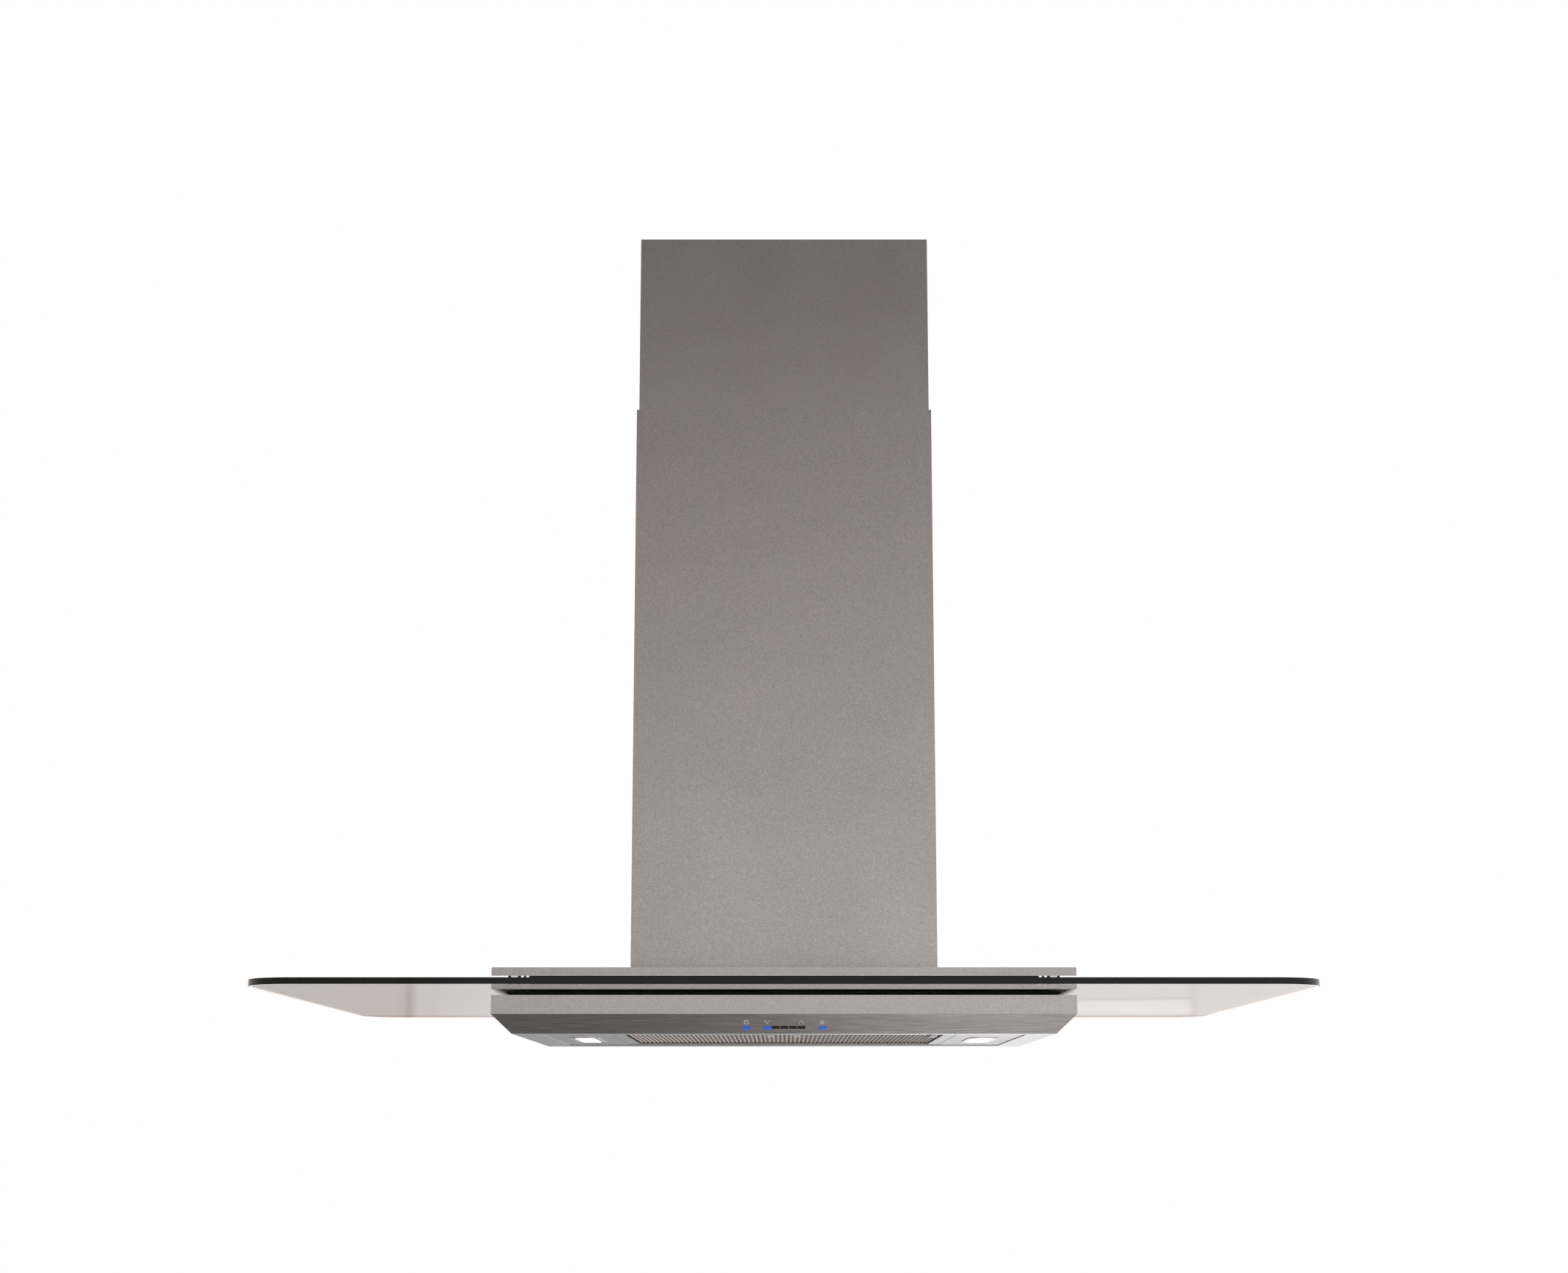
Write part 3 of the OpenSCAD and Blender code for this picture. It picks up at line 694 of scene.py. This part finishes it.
class Finishes:
    """One material of each finish, made when it is first asked for."""

    KINDS: dict[str, Finish] = {
        # Duct covers and top box: satin sheet that carries the room's soft gradient.
        "cover_stainless": Stainless("satin_stainless_cover"),
        "box_stainless": Stainless("satin_stainless_box"),
        # Body: a shade warmer, with the bevel's brushed band darkened by painted shade between
        # fascia and rim, and a paler bluish grey underneath that is painted light.
        "body_stainless": BevelledStainless("satin_stainless_body", colour="#c6bfbd"),
        # Lamp panels and filter frame: flatter, and paler and bluer with painted light, so they
        # read as separate plates.
        "panel_stainless": Stainless("satin_stainless_panel", colour="#d6d5d8", roughness=0.4),
        # Finger ears and lamp bezels: small pressings with a crisper shine, and a paler colour
        # that is painted light.
        "ear_stainless": Stainless("satin_stainless_ear", colour="#d8d4d2", roughness=0.25),
        # The canopy: a clear sheet, its dark green edge and the arris's thin line of painted light
        # and glow.
        "glass": FloatGlass("toughened_float_glass"),
        "glass_edge": GlassEdge("polished_glass_edge"),
        "glass_arris": GlassArris("polished_glass_arris"),
        # Ceiling frame, blower housing and flaps: spangled grey sheet.
        "zinc": ZincSheet("galvanised_sheet"),
        # Bright zinc-plated steel: small fasteners with a slightly yellow, even shine.
        "hardware": Speckled("bright_zinc_fastener", "#a8a7a2", "#bfbdb8", metallic=1.0,
                             roughness=0.3, spread=0.06, grain_mm=0.4),
        # Chrome: a mirror with hairlines from handling.
        "chrome": Speckled("polished_chrome", "#cfd0d2", "#dcdddf", metallic=1.0,
                           roughness=0.07, spread=0.03, grain_mm=2.0, bump=0.02),
        # Pressed ribs: a darker, pinkish grey; the darkening is painted shade.
        "rib": Speckled("pressed_aluminium_rib", "#9c8e89", "#b0a29b", metallic=1.0,
                        roughness=0.45, spread=0.05, grain_mm=0.8, grain=Grain.ALONG_Y),
        # Expanded mesh: nearly matt strands, paler than the ribs; the paler colour is painted
        # light that brightens the gaps between the ribs.
        "mesh": Speckled("expanded_aluminium", "#d6cac3", "#e9ded7", metallic=0.3,
                         roughness=0.6, spread=0.08, grain_mm=1.0),
        # Die-cast aluminium: open, sandy skin.
        "die_cast": Speckled("die_cast_aluminium", "#8e9093", "#a5a7aa", metallic=1.0,
                             roughness=0.5, spread=0.08, grain_mm=0.5, bump=0.4),
        # Moulded ABS: spark-eroded grain 0.3 mm, drawn 0.6 mm.
        "black_plastic": Speckled("moulded_black_abs", "#0c0c0d", "#161617", roughness=0.45,
                                  spread=0.1),
        # Volute: grey polypropylene, waxy and a little uneven.
        "volute_plastic": Speckled("moulded_grey_polypropylene", "#37383a", "#434447",
                                   spread=0.1, grain_mm=0.9),
        # Impeller: blue-grey nylon, smoother than its housing.
        "wheel_plastic": Speckled("moulded_wheel_nylon", "#2c3236", "#363d42", roughness=0.42,
                                  grain_mm=0.7),
        # Capacitor can: natural nylon, off-white and smooth.
        "nylon": Speckled("natural_nylon", "#e3e2dc", "#eeede8", roughness=0.4, spread=0.06,
                          grain_mm=0.8, bump=0.05),
        # Gaskets: closed-cell rubber, black and open enough to swallow light.
        "rubber": Speckled("cellular_rubber", "#060606", "#121211", roughness=0.85,
                           spread=0.05, grain_mm=0.7, bump=0.5),
        # Solder resist over copper: green, glossy, with tracks 1.2 mm wide.
        "board": Speckled("green_solder_resist", "#0d4a26", "#187039", roughness=0.3,
                          spread=0.05, grain_mm=1.2, bump=0.1),
        # Touch symbols: pale matt ink.
        "ink": Speckled("printed_grey_ink", "#efebe8", "#fbf8f6", roughness=0.6, spread=0.05,
                        grain_mm=0.5, bump=0.02),
        # Lamps: evenly glowing bars. Touch windows: blue where lit, smoke-black elsewhere.
        "diffuser": LampDiffuser("frosted_acrylic_lamp"),
        "indicator": IndicatorLens("smoked_acrylic_window"),
    }

    def __init__(self) -> None:
        """Starts with no material made."""
        self.made: dict[str, bpy.types.Material] = {}

    def get(self, kind: str) -> bpy.types.Material:
        """Gives the material of a finish.

        Args:
            kind: the finish's name in KINDS.

        Returns:
            Its material, made at the first call.
        """
        if kind not in self.made:
            self.made[kind] = self.KINDS[kind].make()
        return self.made[kind]

    def dress(self, kind: str, *nodes: str) -> None:
        """Gives a finish to the frame's nodes, and logs them.

        Args:
            kind: the finish's name in KINDS.
            nodes: names of the nodes.
        """
        for name in nodes:
            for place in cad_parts[name].material_slots:
                place.material = self.get(kind)
            log.info("%s: %s", name, kind)


# ---------------------------------------------------------- sub-assemblies


@dataclass
class DuctCovers:
    """Upper and lower duct covers with their rivets and screws."""

    finishes: Finishes

    def dress(self) -> None:
        """Satin sheet for the covers, bright zinc for what fastens them."""
        self.finishes.dress("cover_stainless", "upper_cover_shell", "upper_cover_back",
                            "lower_cover_shell", "lower_cover_back")
        self.finishes.dress("hardware", "upper_cover_rivets", "upper_cover_screws",
                            "lower_cover_rivets")


@dataclass
class GlassCanopy:
    """The canopy's sheet with polished edges, and what clamps it."""

    finishes: Finishes
    corner_r: float = 50 * MM
    top_arris: float = 1.4 * MM
    low_arris: float = 0.4 * MM
    # The ring of the underside, from lit_rim to lit_from in from the edge, gets painted light.
    lit_rim: float = 3.2 * MM
    lit_from: float = 1.3 * MM
    arris_slope: float = 0.6
    opening: tuple[float, float, float] = (280 * MM, 232 * MM, 20 * MM)
    arc_points: int = 24
    run_points: int = 8

    def sheet(self) -> bpy.types.Object:
        """Builds the sheet: its rounded outline carried through a chamfered edge profile.

        Point (i, j) is outline[i] - inset[j] * out[i] at height[j]. The profile climbs from
        the underside over a small arris, the edge and a larger arris to the top, and comes
        back down the cut opening in the middle. A narrow ring of the underside, near the
        edge, has the arris's finish: painted light that stands for the light from the edge
        that comes out there.

        Returns:
            The sheet.
        """
        low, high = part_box("glass_canopy")
        width, depth = high.x - low.x, high.y - low.y
        steps = self.arc_points, self.run_points
        outline, out = rounded_outline(width, depth, self.corner_r, *steps)
        hole, _ = rounded_outline(*self.opening, *steps)
        thick = high.z - low.z
        inset = np.array([self.lit_rim, self.lit_from, self.low_arris, 0, 0,
                          self.arris_slope * self.top_arris])
        height = low.z + np.array([0, 0, 0, self.low_arris, thick - self.top_arris, thick])
        rim = outline[:, None] - inset[None, :, None] * out[:, None]
        plan = np.concatenate([rim, np.repeat(hole[:, None], 2, axis=1)], axis=1)
        z = np.broadcast_to(np.append(height, [high.z, low.z]), plan.shape[:2])[..., None]
        points = np.concatenate([plan, z], -1).reshape(-1, 3)
        quads = grid_quads(len(outline), plan.shape[1], True, True)
        glass, edge, arris = range(3)
        # The lit ring and the top arris take the arris's painted light.
        bands = [arris, glass, edge, edge, arris, glass, edge, glass]
        shape = Surface(points, quads, np.tile(bands, len(outline)))
        names = ("glass", "glass_edge", "glass_arris")
        return build("canopy_sheet", shape, [self.finishes.get(n) for n in names])

    def make(self) -> None:
        """Builds the sheet in place of the plain one and dresses its clamping."""
        sheet = self.sheet()
        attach(sheet, "hood")
        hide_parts("glass_canopy")
        log.info("canopy_sheet: float glass with polished arrises")
        self.finishes.dress("rubber", "upper_gasket", "lower_gasket")
        self.finishes.dress("hardware", "clamp_bolts")
        self.finishes.dress("black_plastic", "glass_bushes")


@dataclass
class Symbols:
    """Four printed touch symbols on the front bevel."""

    finishes: Finishes
    stroke: float = 0.95 * MM
    film: float = 0.05 * MM
    bevel: float = 19.5 * MM
    power_x: float = -38.9 * MM
    down_x: float = -17.5 * MM
    up_x: float = 17.9 * MM
    lamp_x: float = 39.3 * MM
    middle_down: float = 11.5 * MM
    half_width: float = 2.3 * MM
    half_height: float = 2.7 * MM

    def on_bevel(self, flat: Array, lift: float) -> Array:
        """Turns places on the front bevel into points.

        Args:
            flat: rows of (x, distance down the slope).
            lift: height above the bevel.

        Returns:
            One point for each row.
        """
        low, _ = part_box("body_shell")
        start = np.array([0, low.y, low.z + self.bevel])
        down = np.array([0, 1, -1]) / SQRT2
        out = np.array([0, -1, -1]) / SQRT2
        return start + flat[:, :1] * RIGHT + flat[:, 1:] * down + lift * out

    def stripe(self, flat: Array, closed: bool = False) -> Surface:
        """A printed line: a flat ribbon of ink carried along a path on the bevel.

        Args:
            flat: the path as (x, distance down the slope).
            closed: whether it runs back to its start.

        Returns:
            The ribbon, as thick as the ink film.
        """
        ahead = np.roll(flat, -1, 0) - flat
        behind = flat - np.roll(flat, 1, 0)
        if not closed:
            ahead[-1], behind[0] = behind[-1], ahead[0]
        way = ahead / np.linalg.norm(ahead, axis=1)[:, None]
        way += behind / np.linalg.norm(behind, axis=1)[:, None]
        way /= np.linalg.norm(way, axis=1)[:, None]
        path = self.on_bevel(flat, self.film / 2)
        zero = self.on_bevel(np.zeros((1, 2)), 0.0)
        side = self.on_bevel(np.stack([way[:, 1], -way[:, 0]], -1), 0.0) - zero
        up = still((0, -1 / SQRT2, -1 / SQRT2), len(flat))
        profile = box_profile(self.stroke, -self.film / 2, self.film / 2)
        return sweep(path, side, up, profile, closed)

    def power(self) -> list[Surface]:
        """A circle open at the top with a short line standing in the gap.

        Returns:
            Its two strokes.
        """
        a = np.radians(np.linspace(-68, 248, 31))
        centre = np.array([self.power_x, self.middle_down])
        size = np.array([self.half_width, self.half_height])
        arc = np.stack([np.cos(a), np.sin(a)], -1)
        line = np.array([[0, -1.3], [0, -0.1]])
        return [self.stripe(centre + size * flat) for flat in (arc, line)]

    def chevron(self, x: float, point_down: bool) -> list[Surface]:
        """Two lines that meet in a point.

        Args:
            x: middle of the symbol.
            point_down: whether the point is below the lines' other ends.

        Returns:
            Its one stroke.
        """
        way = 1 if point_down else -1
        legs = np.array([[-1, -way], [0, way], [1, -way]], float)
        flat = legs * [1.15 * self.half_width, 0.92 * self.half_height]
        return [self.stripe(flat + [x, self.middle_down])]

    def lamp(self) -> list[Surface]:
        """A small circle with eight short rays.

        Returns:
            Its nine strokes.
        """
        a = np.arange(16) * math.pi / 8
        round_way = np.stack([np.cos(a), np.sin(a)], -1)
        centre = np.array([self.lamp_x, self.middle_down])
        size = np.array([self.half_width, self.half_height])
        rays = [self.stripe(centre + size * np.outer([0.85, 1.2], w)) for w in round_way[::2]]
        return [self.stripe(centre + 0.58 * size * round_way, True)] + rays

    def make(self) -> None:
        """Prints the symbols."""
        parts = self.power() + self.chevron(self.down_x, True) + self.chevron(self.up_x, False)
        ink = build("touch_symbols", Surface.join(parts + self.lamp()), [self.finishes.get("ink")])
        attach(ink, "hood")
        log.info("touch_symbols: printed ink")


@dataclass
class HoodBody:
    """Top box, bevelled body, lamp panels, lamps and touch controls."""

    finishes: Finishes

    def make(self) -> None:
        """Dresses the body's nodes and prints its symbols."""
        dress = self.finishes.dress
        dress("box_stainless", "top_box")
        dress("body_stainless", "body_shell")
        dress("panel_stainless", "lamp_panel_left", "lamp_panel_right")
        dress("ear_stainless", "lamp_bezels")
        dress("diffuser", "lamp_lens_left", "lamp_lens_right")
        dress("indicator", "indicator_windows")
        dress("black_plastic", "window_carrier")
        dress("board", "touch_board", "led_boards")
        Symbols(self.finishes).make()


@dataclass
class GreaseFilter:
    """Filter frame, pressed ribs, expanded mesh, knob and latch."""

    finishes: Finishes
    rib_count: int = 70
    rib_share: float = 0.64
    tuck: float = 5 * MM
    rib_h: float = 0.9 * MM
    rib_back: float = 0.6 * MM
    rib_up: float = 1.5 * MM
    rib_arc: int = 8
    notch_x: float = 26.0 * MM
    notch_depth: float = 18.4 * MM
    bridge_l: float = 3.2 * MM
    bridge_pitch: float = 7.5 * MM
    strand_w: float = 1.3 * MM
    strand_t: float = 0.3 * MM
    wave: float = 12 * MM
    strand_pitch: float = 5 * MM
    mesh_inset: float = 3 * MM
    mesh_layers: int = 3
    wire_r: float = 0.3 * MM
    turns: int = 6
    turn_points: int = 24
    spring_keep: float = 0.5

    def notch_y(self, front: float) -> float:
        """Where the cut-out for the latch ends, behind the grille's front edge."""
        return front + self.notch_depth

    def bar(self, end: tuple[float, float, float], length: float, profile: Array) -> Surface:
        """A straight bar with a profile in x and z, from its rear end towards the front."""
        path = along(np.array(end), np.array(AHEAD), length, 2)
        return sweep(path, still(RIGHT, 2), still(UP, 2), profile, False)

    def ribs(self) -> bpy.types.Object:
        """Builds the pressed ribs: half-round bars carried front to rear, one per pitch.

        A rib's profile is (w cos a, h sin a) for a from 180 to 360 degrees, so it bulges
        downwards, on a flat back. Short flat bridges join the ribs' backs at even steps, with
        a slot between each two.

        Returns:
            The grille.
        """
        low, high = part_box("filter_grille")
        pitch = (high.x - low.x - 2 * self.tuck) / self.rib_count
        half = pitch * self.rib_share / 2
        a = np.linspace(math.pi, 2 * math.pi, self.rib_arc)
        bulge = np.stack([half * np.cos(a), self.rib_h * np.sin(a)], -1)
        rib = np.concatenate([bulge, [[half, self.rib_back], [-half, self.rib_back]]])
        bridge = box_profile(pitch - 2 * half, 0, self.rib_back)
        z = low.z + self.rib_up
        centres = low.x + self.tuck + (np.arange(self.rib_count) + 0.5) * pitch
        steps = np.arange(low.y + self.tuck + 2 * MM, high.y - self.tuck, self.bridge_pitch)

        def front(x: float) -> float:
            """Where the grille starts at x: further back behind the latch."""
            return low.y if abs(x) > self.notch_x + half else self.notch_y(low.y)

        bars = [self.bar((x, high.y, z), high.y - front(x), rib) for x in centres]
        bars += [self.bar((x, y + self.bridge_l, z), self.bridge_l, bridge)
                 for x in centres[:-1] + pitch / 2 for y in steps[steps > front(x)]]
        grille = build("pressed_ribs", Surface.join(bars), [self.finishes.get("rib")])
        smooth(grille, 50)
        return grille

    def mesh(self) -> bpy.types.Object:
        """Builds the expanded mesh: zigzag strands that touch at every half wave.

        Strand k is a flat strip that runs along X at
        y = y0 + k * pitch + (-1)^k * (pitch / 2) * cos(2 pi x / wave). Odd and even strands
        lie just below and above each other, in several layers.

        Returns:
            The pack of layers.
        """
        low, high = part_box("filter_mesh")
        pitch, wave, inset = self.strand_pitch, self.wave, self.mesh_inset
        x = np.arange(low.x + inset, high.x - inset, wave / 4)
        rows = np.arange(low.y + inset + pitch, high.y - inset - pitch / 2, pitch)
        profile = box_profile(self.strand_w, -self.strand_t / 2, self.strand_t / 2)
        strands = []
        levels = np.linspace(low.z + self.strand_t, high.z - self.strand_t, self.mesh_layers)
        for layer, z in enumerate(levels):
            for k, y in enumerate(rows):
                turn = (-1) ** k
                bend = turn * pitch / 2 * np.cos(2 * math.pi * (x + layer * wave / 4) / wave)
                path = np.stack([x, y + bend, np.full_like(x, z + turn * self.strand_t)], -1)
                cut = y - pitch < self.notch_y(low.y)
                for run in (x < -self.notch_x, x > self.notch_x) if cut else (x < high.x,):
                    count = run.sum()
                    strands.append(sweep(path[run], still(AHEAD, count), still(UP, count),
                                         profile, False))
        return build("expanded_mesh", Surface.join(strands), [self.finishes.get("mesh")])

    def springs(self) -> bpy.types.Object:
        """Builds the latch's two coil springs at full length, with the latch let go; the real
        springs shorten as the latch is pulled back.

        Each wire's middle is (x0 + R cos t, y0 + L t / (2 pi n), z0 + R sin t), for t from 0
        to 2 pi n, where n is the number of turns.

        Returns:
            Both springs.
        """
        low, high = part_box("latch_spring")
        radius = (high.z - low.z) / 2 - self.wire_r
        t = np.linspace(0, 2 * math.pi * self.turns, self.turn_points * self.turns + 1)
        side = np.stack([np.cos(t), 0 * t, np.sin(t)], -1)
        run = np.linspace(low.y + self.wire_r, high.y - self.wire_r, len(t))
        axis = np.stack([0 * t, run, 0 * t + (low.z + high.z) / 2], -1)
        coils = []
        for x in (low.x + radius + self.wire_r, high.x - radius - self.wire_r):
            path = axis + radius * side + [x, 0, 0]
            coils.append(sweep(path, side, still((0, 1, 0), len(t)), ring(self.wire_r, 8), False))
        return build("latch_coils", Surface.join(coils), [self.finishes.get("hardware")])

    def make(self) -> None:
        """Builds the grille, mesh and springs in place of the plain ones and dresses the rest."""
        springs = self.springs()
        for piece, node, slot in ((self.ribs(), "filter_grille", "filter_aluminium"),
                                  (self.mesh(), "filter_mesh", "filter_aluminium"),
                                  (springs, "latch_spring", "hardware_steel")):
            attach(piece, "filter")
            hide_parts(node)
            log.info("%s: in place of %s", piece.name, node)
        smooth(springs)
        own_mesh(springs)
        dress = self.finishes.dress
        dress("panel_stainless", "filter_frame")
        dress("chrome", "filter_knob")
        dress("black_plastic", "latch_housing")
        dress("ear_stainless", "latch_slider")


@dataclass
class InnerWorks:
    """Ceiling frame, blower, duct collar, flaps and electronics."""

    finishes: Finishes

    def make(self) -> None:
        """Dresses the nodes inside the covers."""
        dress = self.finishes.dress
        posts = [f"{level}_post_{end}_{side}" for level in ("upper", "lower")
                 for end in ("front", "rear") for side in ("left", "right")]
        dress("zinc", "ceiling_plate", "base_plate", "blower_housing", "outlet_collar",
              "motor_bracket", "capacitor_clip", "damper_flap_left", "damper_flap_right", *posts)
        dress("hardware", "frame_screws", "base_bolts", "motor_shaft", "motor_bearings",
              "damper_pin")
        dress("volute_plastic", "volute_front", "volute_rear", "inlet_ring")
        dress("wheel_plastic", "impeller")
        dress("die_cast", "motor_housing")
        dress("black_plastic", "electronics_box", "cable_gland")
        dress("board", "power_board")
        dress("nylon", "run_capacitor")


@dataclass
class Studio:
    """Camera, pale floor and soft light.

    The room that the metal mirrors is a product of curves. Each curve is a list of
    (direction, level, warmth). FRONT and BACK run with the direction's height, before and
    behind the hood, and SHELF adds fine steps just below the horizon. STEP adds one more
    there, between the two turns of STEP_ENDS. ACROSS_HIGH and ACROSS_LOW run with the
    direction's turn to the right, above and below the horizon.
    """

    FRONT: ClassVar[Curve] = [
        (-1.0, 0.49, 0.1), (-0.6, 0.3, 0.3), (-0.3, 0.47, 0.1), (-0.05, 0.78, -0.2),
        (0.06, 0.78, -0.2), (0.15, 0.53, 0.6), (0.25, 0.435, 1.1), (0.33, 0.26, 1.4),
        (0.355, 0.06, 1.4), (0.4, 0.02, 1.2), (0.55, 0.04, 0.6), (1.0, 0.3, 0.2)]
    BACK: ClassVar[Curve] = [
        (-1.0, 0.27, 0.1), (-0.7, 0.22, 0.2), (-0.4, 0.5, 0.0), (-0.14, 0.56, 0.0),
        (-0.09, 0.3, 0.7), (-0.03, 0.3, 0.7), (-0.01, 0.42, 0.0), (0.03, 0.64, 0.0),
        (0.15, 0.42, 0.0), (0.5, 0.32, 0.2), (1.0, 0.27, 0.3)]
    SHELF: ClassVar[Curve] = [
        (-0.07, 0.88, 0.0), (-0.056, 0.9, 0.0), (-0.0469, 0.97, 0.0), (-0.0467, 0.8, 0.8),
        (-0.046, 0.8, 0.8), (-0.0455, 0.92, 0.0), (-0.043, 1.06, -1.6), (-0.03, 1.06, -1.6),
        (-0.02, 0.92, 0.2)]
    STEP: ClassVar[Curve] = [
        (-0.07, 0.5, 0.0), (-0.0546, 0.5, 0.0), (-0.0541, 0.475, 0.5), (-0.0537, 0.475, 0.5),
        (-0.0528, 0.56, 0.0), (-0.048, 0.59, 0.0), (-0.0468, 0.5, 0.0), (-0.03, 0.5, 0.0)]
    STEP_ENDS: ClassVar[tuple[float, float]] = (0.0, 0.174)
    ACROSS_HIGH: ClassVar[Curve] = [
        (-0.25, 0.41, 0.6), (-0.165, 0.43, 0.7), (-0.1615, 0.39, 0.8), (-0.160, 0.31, 1.2),
        (-0.1588, 0.31, 1.2), (-0.1575, 0.5, 0.4), (-0.1475, 0.51, 0.4), (-0.147, 0.48, 0.4),
        (-0.1465, 0.52, 0.3), (-0.12, 0.58, 0.0), (-0.09, 0.6, 0.0), (0.0, 0.59, 0.1),
        (0.13, 0.66, 0.0), (0.1715, 0.66, 0.0), (0.173, 0.6, 0.3), (0.175, 0.6, 0.3),
        (0.177, 0.66, 0.0), (0.25, 0.67, 0.0)]
    ACROSS_LOW: ClassVar[Curve] = [
        (-0.25, 0.19, 0.0), (-0.01, 0.18, 0.0), (0.03, 0.4, 0.0), (0.065, 0.95, 0.0),
        (0.09, 0.95, 0.0), (0.14, 0.7, 0.0), (0.25, 0.7, 0.0)]
    # Direction's Y over which front turns to back, and Z over which high turns to low.
    BEHIND: ClassVar[tuple[float, float]] = (-0.25, 0.25)
    BELOW: ClassVar[tuple[float, float]] = (-0.08, -0.2)
    # The curves hold half the light, and warmth takes these shares off red, green and blue.
    GAIN: ClassVar[tuple[float, ...]] = (2.0, 2.0, 2.0, 1.0)
    WARMTH: ClassVar[tuple[float, ...]] = (0.0, 0.12, 0.17)

    eye: tuple[float, float, float] = (0.0, -2.6, -0.9881)
    pitch_deg: float = 9.90
    lens_mm: float = 52.69
    shift: float = 0.057
    floor_drop: float = 1.7
    floor_half: float = 40.0
    box_size: float = 1.6
    aim: tuple[float, float, float] = (0.0, 0.0, -0.5)

    def level(self, tree: bpy.types.NodeTree, direction: Any, curve: Curve) -> Any:
        """Reads one curve for a direction, held constant beyond the curve's ends.

        Args:
            tree: the world's node tree.
            direction: the socket with the direction's X or Z.
            curve: the curve's points, in rising order.

        Returns:
            The socket with the colour of the light.
        """
        low, high = curve[0][0], curve[-1][0]
        share = add(tree, "MapRange", {0: direction, 1: low, 2: high}).outputs[0]
        stops = [((d - low) / (high - low), tuple(v * (1 - w * c) for c in self.WARMTH) + (1,))
                 for d, v, w in curve]
        return ramp(tree, share, stops)

    def camera(self) -> None:
        """Places the camera just below the hood, looking up at it a little."""
        data = bpy.data.cameras.new("camera")
        data.lens, data.sensor_width, data.shift_y = self.lens_mm, 36.0, self.shift
        data.clip_start, data.clip_end = 0.05, 200.0
        camera = bpy.data.objects.new("camera", data)
        camera.location = self.eye
        camera.rotation_euler = Euler((math.radians(90 + self.pitch_deg), 0, 0))
        bpy.context.scene.collection.objects.link(camera)
        bpy.context.scene.camera = camera

    def floor(self) -> None:
        """A pale floor at room height, lit evenly so that it runs into the backdrop."""
        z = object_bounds()[0].z - self.floor_drop
        h = self.floor_half
        points = np.array([[-h, -h, z], [h, -h, z], [h, h, z], [-h, h, z]])
        material = bpy.data.materials.new("pale_floor")
        material.use_nodes = True
        tree = material.node_tree
        tree.nodes.clear()
        white = add(tree, "Emission", {0: linear("#ffffff"), 1: 1.0})
        add(tree, "OutputMaterial", {0: white.outputs[0]})
        shape = Surface(points, np.array([[0, 1, 2, 3]]), np.zeros(1, int))
        floor = build("floor", shape, [material])
        floor.visible_glossy = False
        floor.visible_diffuse = False
        floor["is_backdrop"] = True

    def world(self) -> None:
        """White backdrop; what the metal mirrors is bright at the horizon and dim above and below.

        The room's light is one level per height, with a separate curve before and behind the
        hood, blended across its middle.
        """
        world = bpy.data.worlds.new("studio")
        bpy.context.scene.world = world
        world.use_nodes = True
        tree = world.node_tree
        tree.nodes.clear()
        toward = add(tree, "TexCoord").outputs["Generated"]
        x, y, z = add(tree, "SeparateXYZ", {0: toward}).outputs
        behind, below = [
            add(tree, "MapRange", {0: way, 1: start, 2: end}).outputs[0]
            for way, (start, end) in ((y, self.BEHIND), (z, self.BELOW))
        ]
        front, back, shelf, step = [self.level(tree, z, curve) for curve in
                                    (self.FRONT, self.BACK, self.SHELF, self.STEP)]
        high, low = [self.level(tree, x, curve) for curve in
                     (self.ACROSS_HIGH, self.ACROSS_LOW)]
        start, end = self.STEP_ENDS
        after = add(tree, "Math", {0: x, 1: start}, operation="GREATER_THAN").outputs[0]
        before = add(tree, "Math", {0: x, 1: end}, operation="LESS_THAN").outputs[0]
        stepped = add(tree, "Math", {0: after, 1: before}, operation="MULTIPLY").outputs[0]
        back = times(tree, back, shelf, self.GAIN)
        back = mix(tree, stepped, back, times(tree, back, step, self.GAIN))
        sides = times(tree, mix(tree, below, high, low), self.GAIN)
        room = times(tree, mix(tree, behind, front, back), sides)
        rays = add(tree, "LightPath")
        seen = add(tree, "Math", {0: rays.outputs["Is Camera Ray"],
                                  1: rays.outputs["Is Transmission Ray"]}, operation="MAXIMUM")
        tone = mix(tree, seen.outputs[0], room, (1, 1, 1, 1))
        light = add(tree, "Background", {0: tone, 1: 1.0})
        add(tree, "OutputWorld", {0: light.outputs[0]})

    def softbox(self, name: str, place: tuple[float, float, float], watts: float) -> None:
        """Adds a square area light that faces the hood's middle.

        Args:
            name: of the light.
            place: where it stands.
            watts: its power.
        """
        data = bpy.data.lights.new(name, "AREA")
        data.size, data.energy = self.box_size, watts
        light = bpy.data.objects.new(name, data)
        light.location = place
        aim = Vector(self.aim) - light.location
        light.rotation_euler = aim.to_track_quat("-Z", "Y").to_euler()
        bpy.context.scene.collection.objects.link(light)

    def make(self) -> None:
        """Sets up the whole studio."""
        self.camera()
        self.floor()
        self.world()
        self.softbox("soft_right", (3.2, -2.2, 0.9), 22.0)
        self.softbox("soft_left", (-3.0, -1.0, 1.4), 10.0)
        bpy.context.scene.view_settings.view_transform = "Standard"


def main() -> None:
    """Builds every sub-assembly in order, then the studio."""
    logging.basicConfig(level=logging.INFO, format="%(name)s %(message)s")
    finishes = Finishes()
    DuctCovers(finishes).dress()
    GlassCanopy(finishes).make()
    HoodBody(finishes).make()
    GreaseFilter(finishes).make()
    InnerWorks(finishes).make()
    Studio().make()


if __name__ == "__main__":
    main()
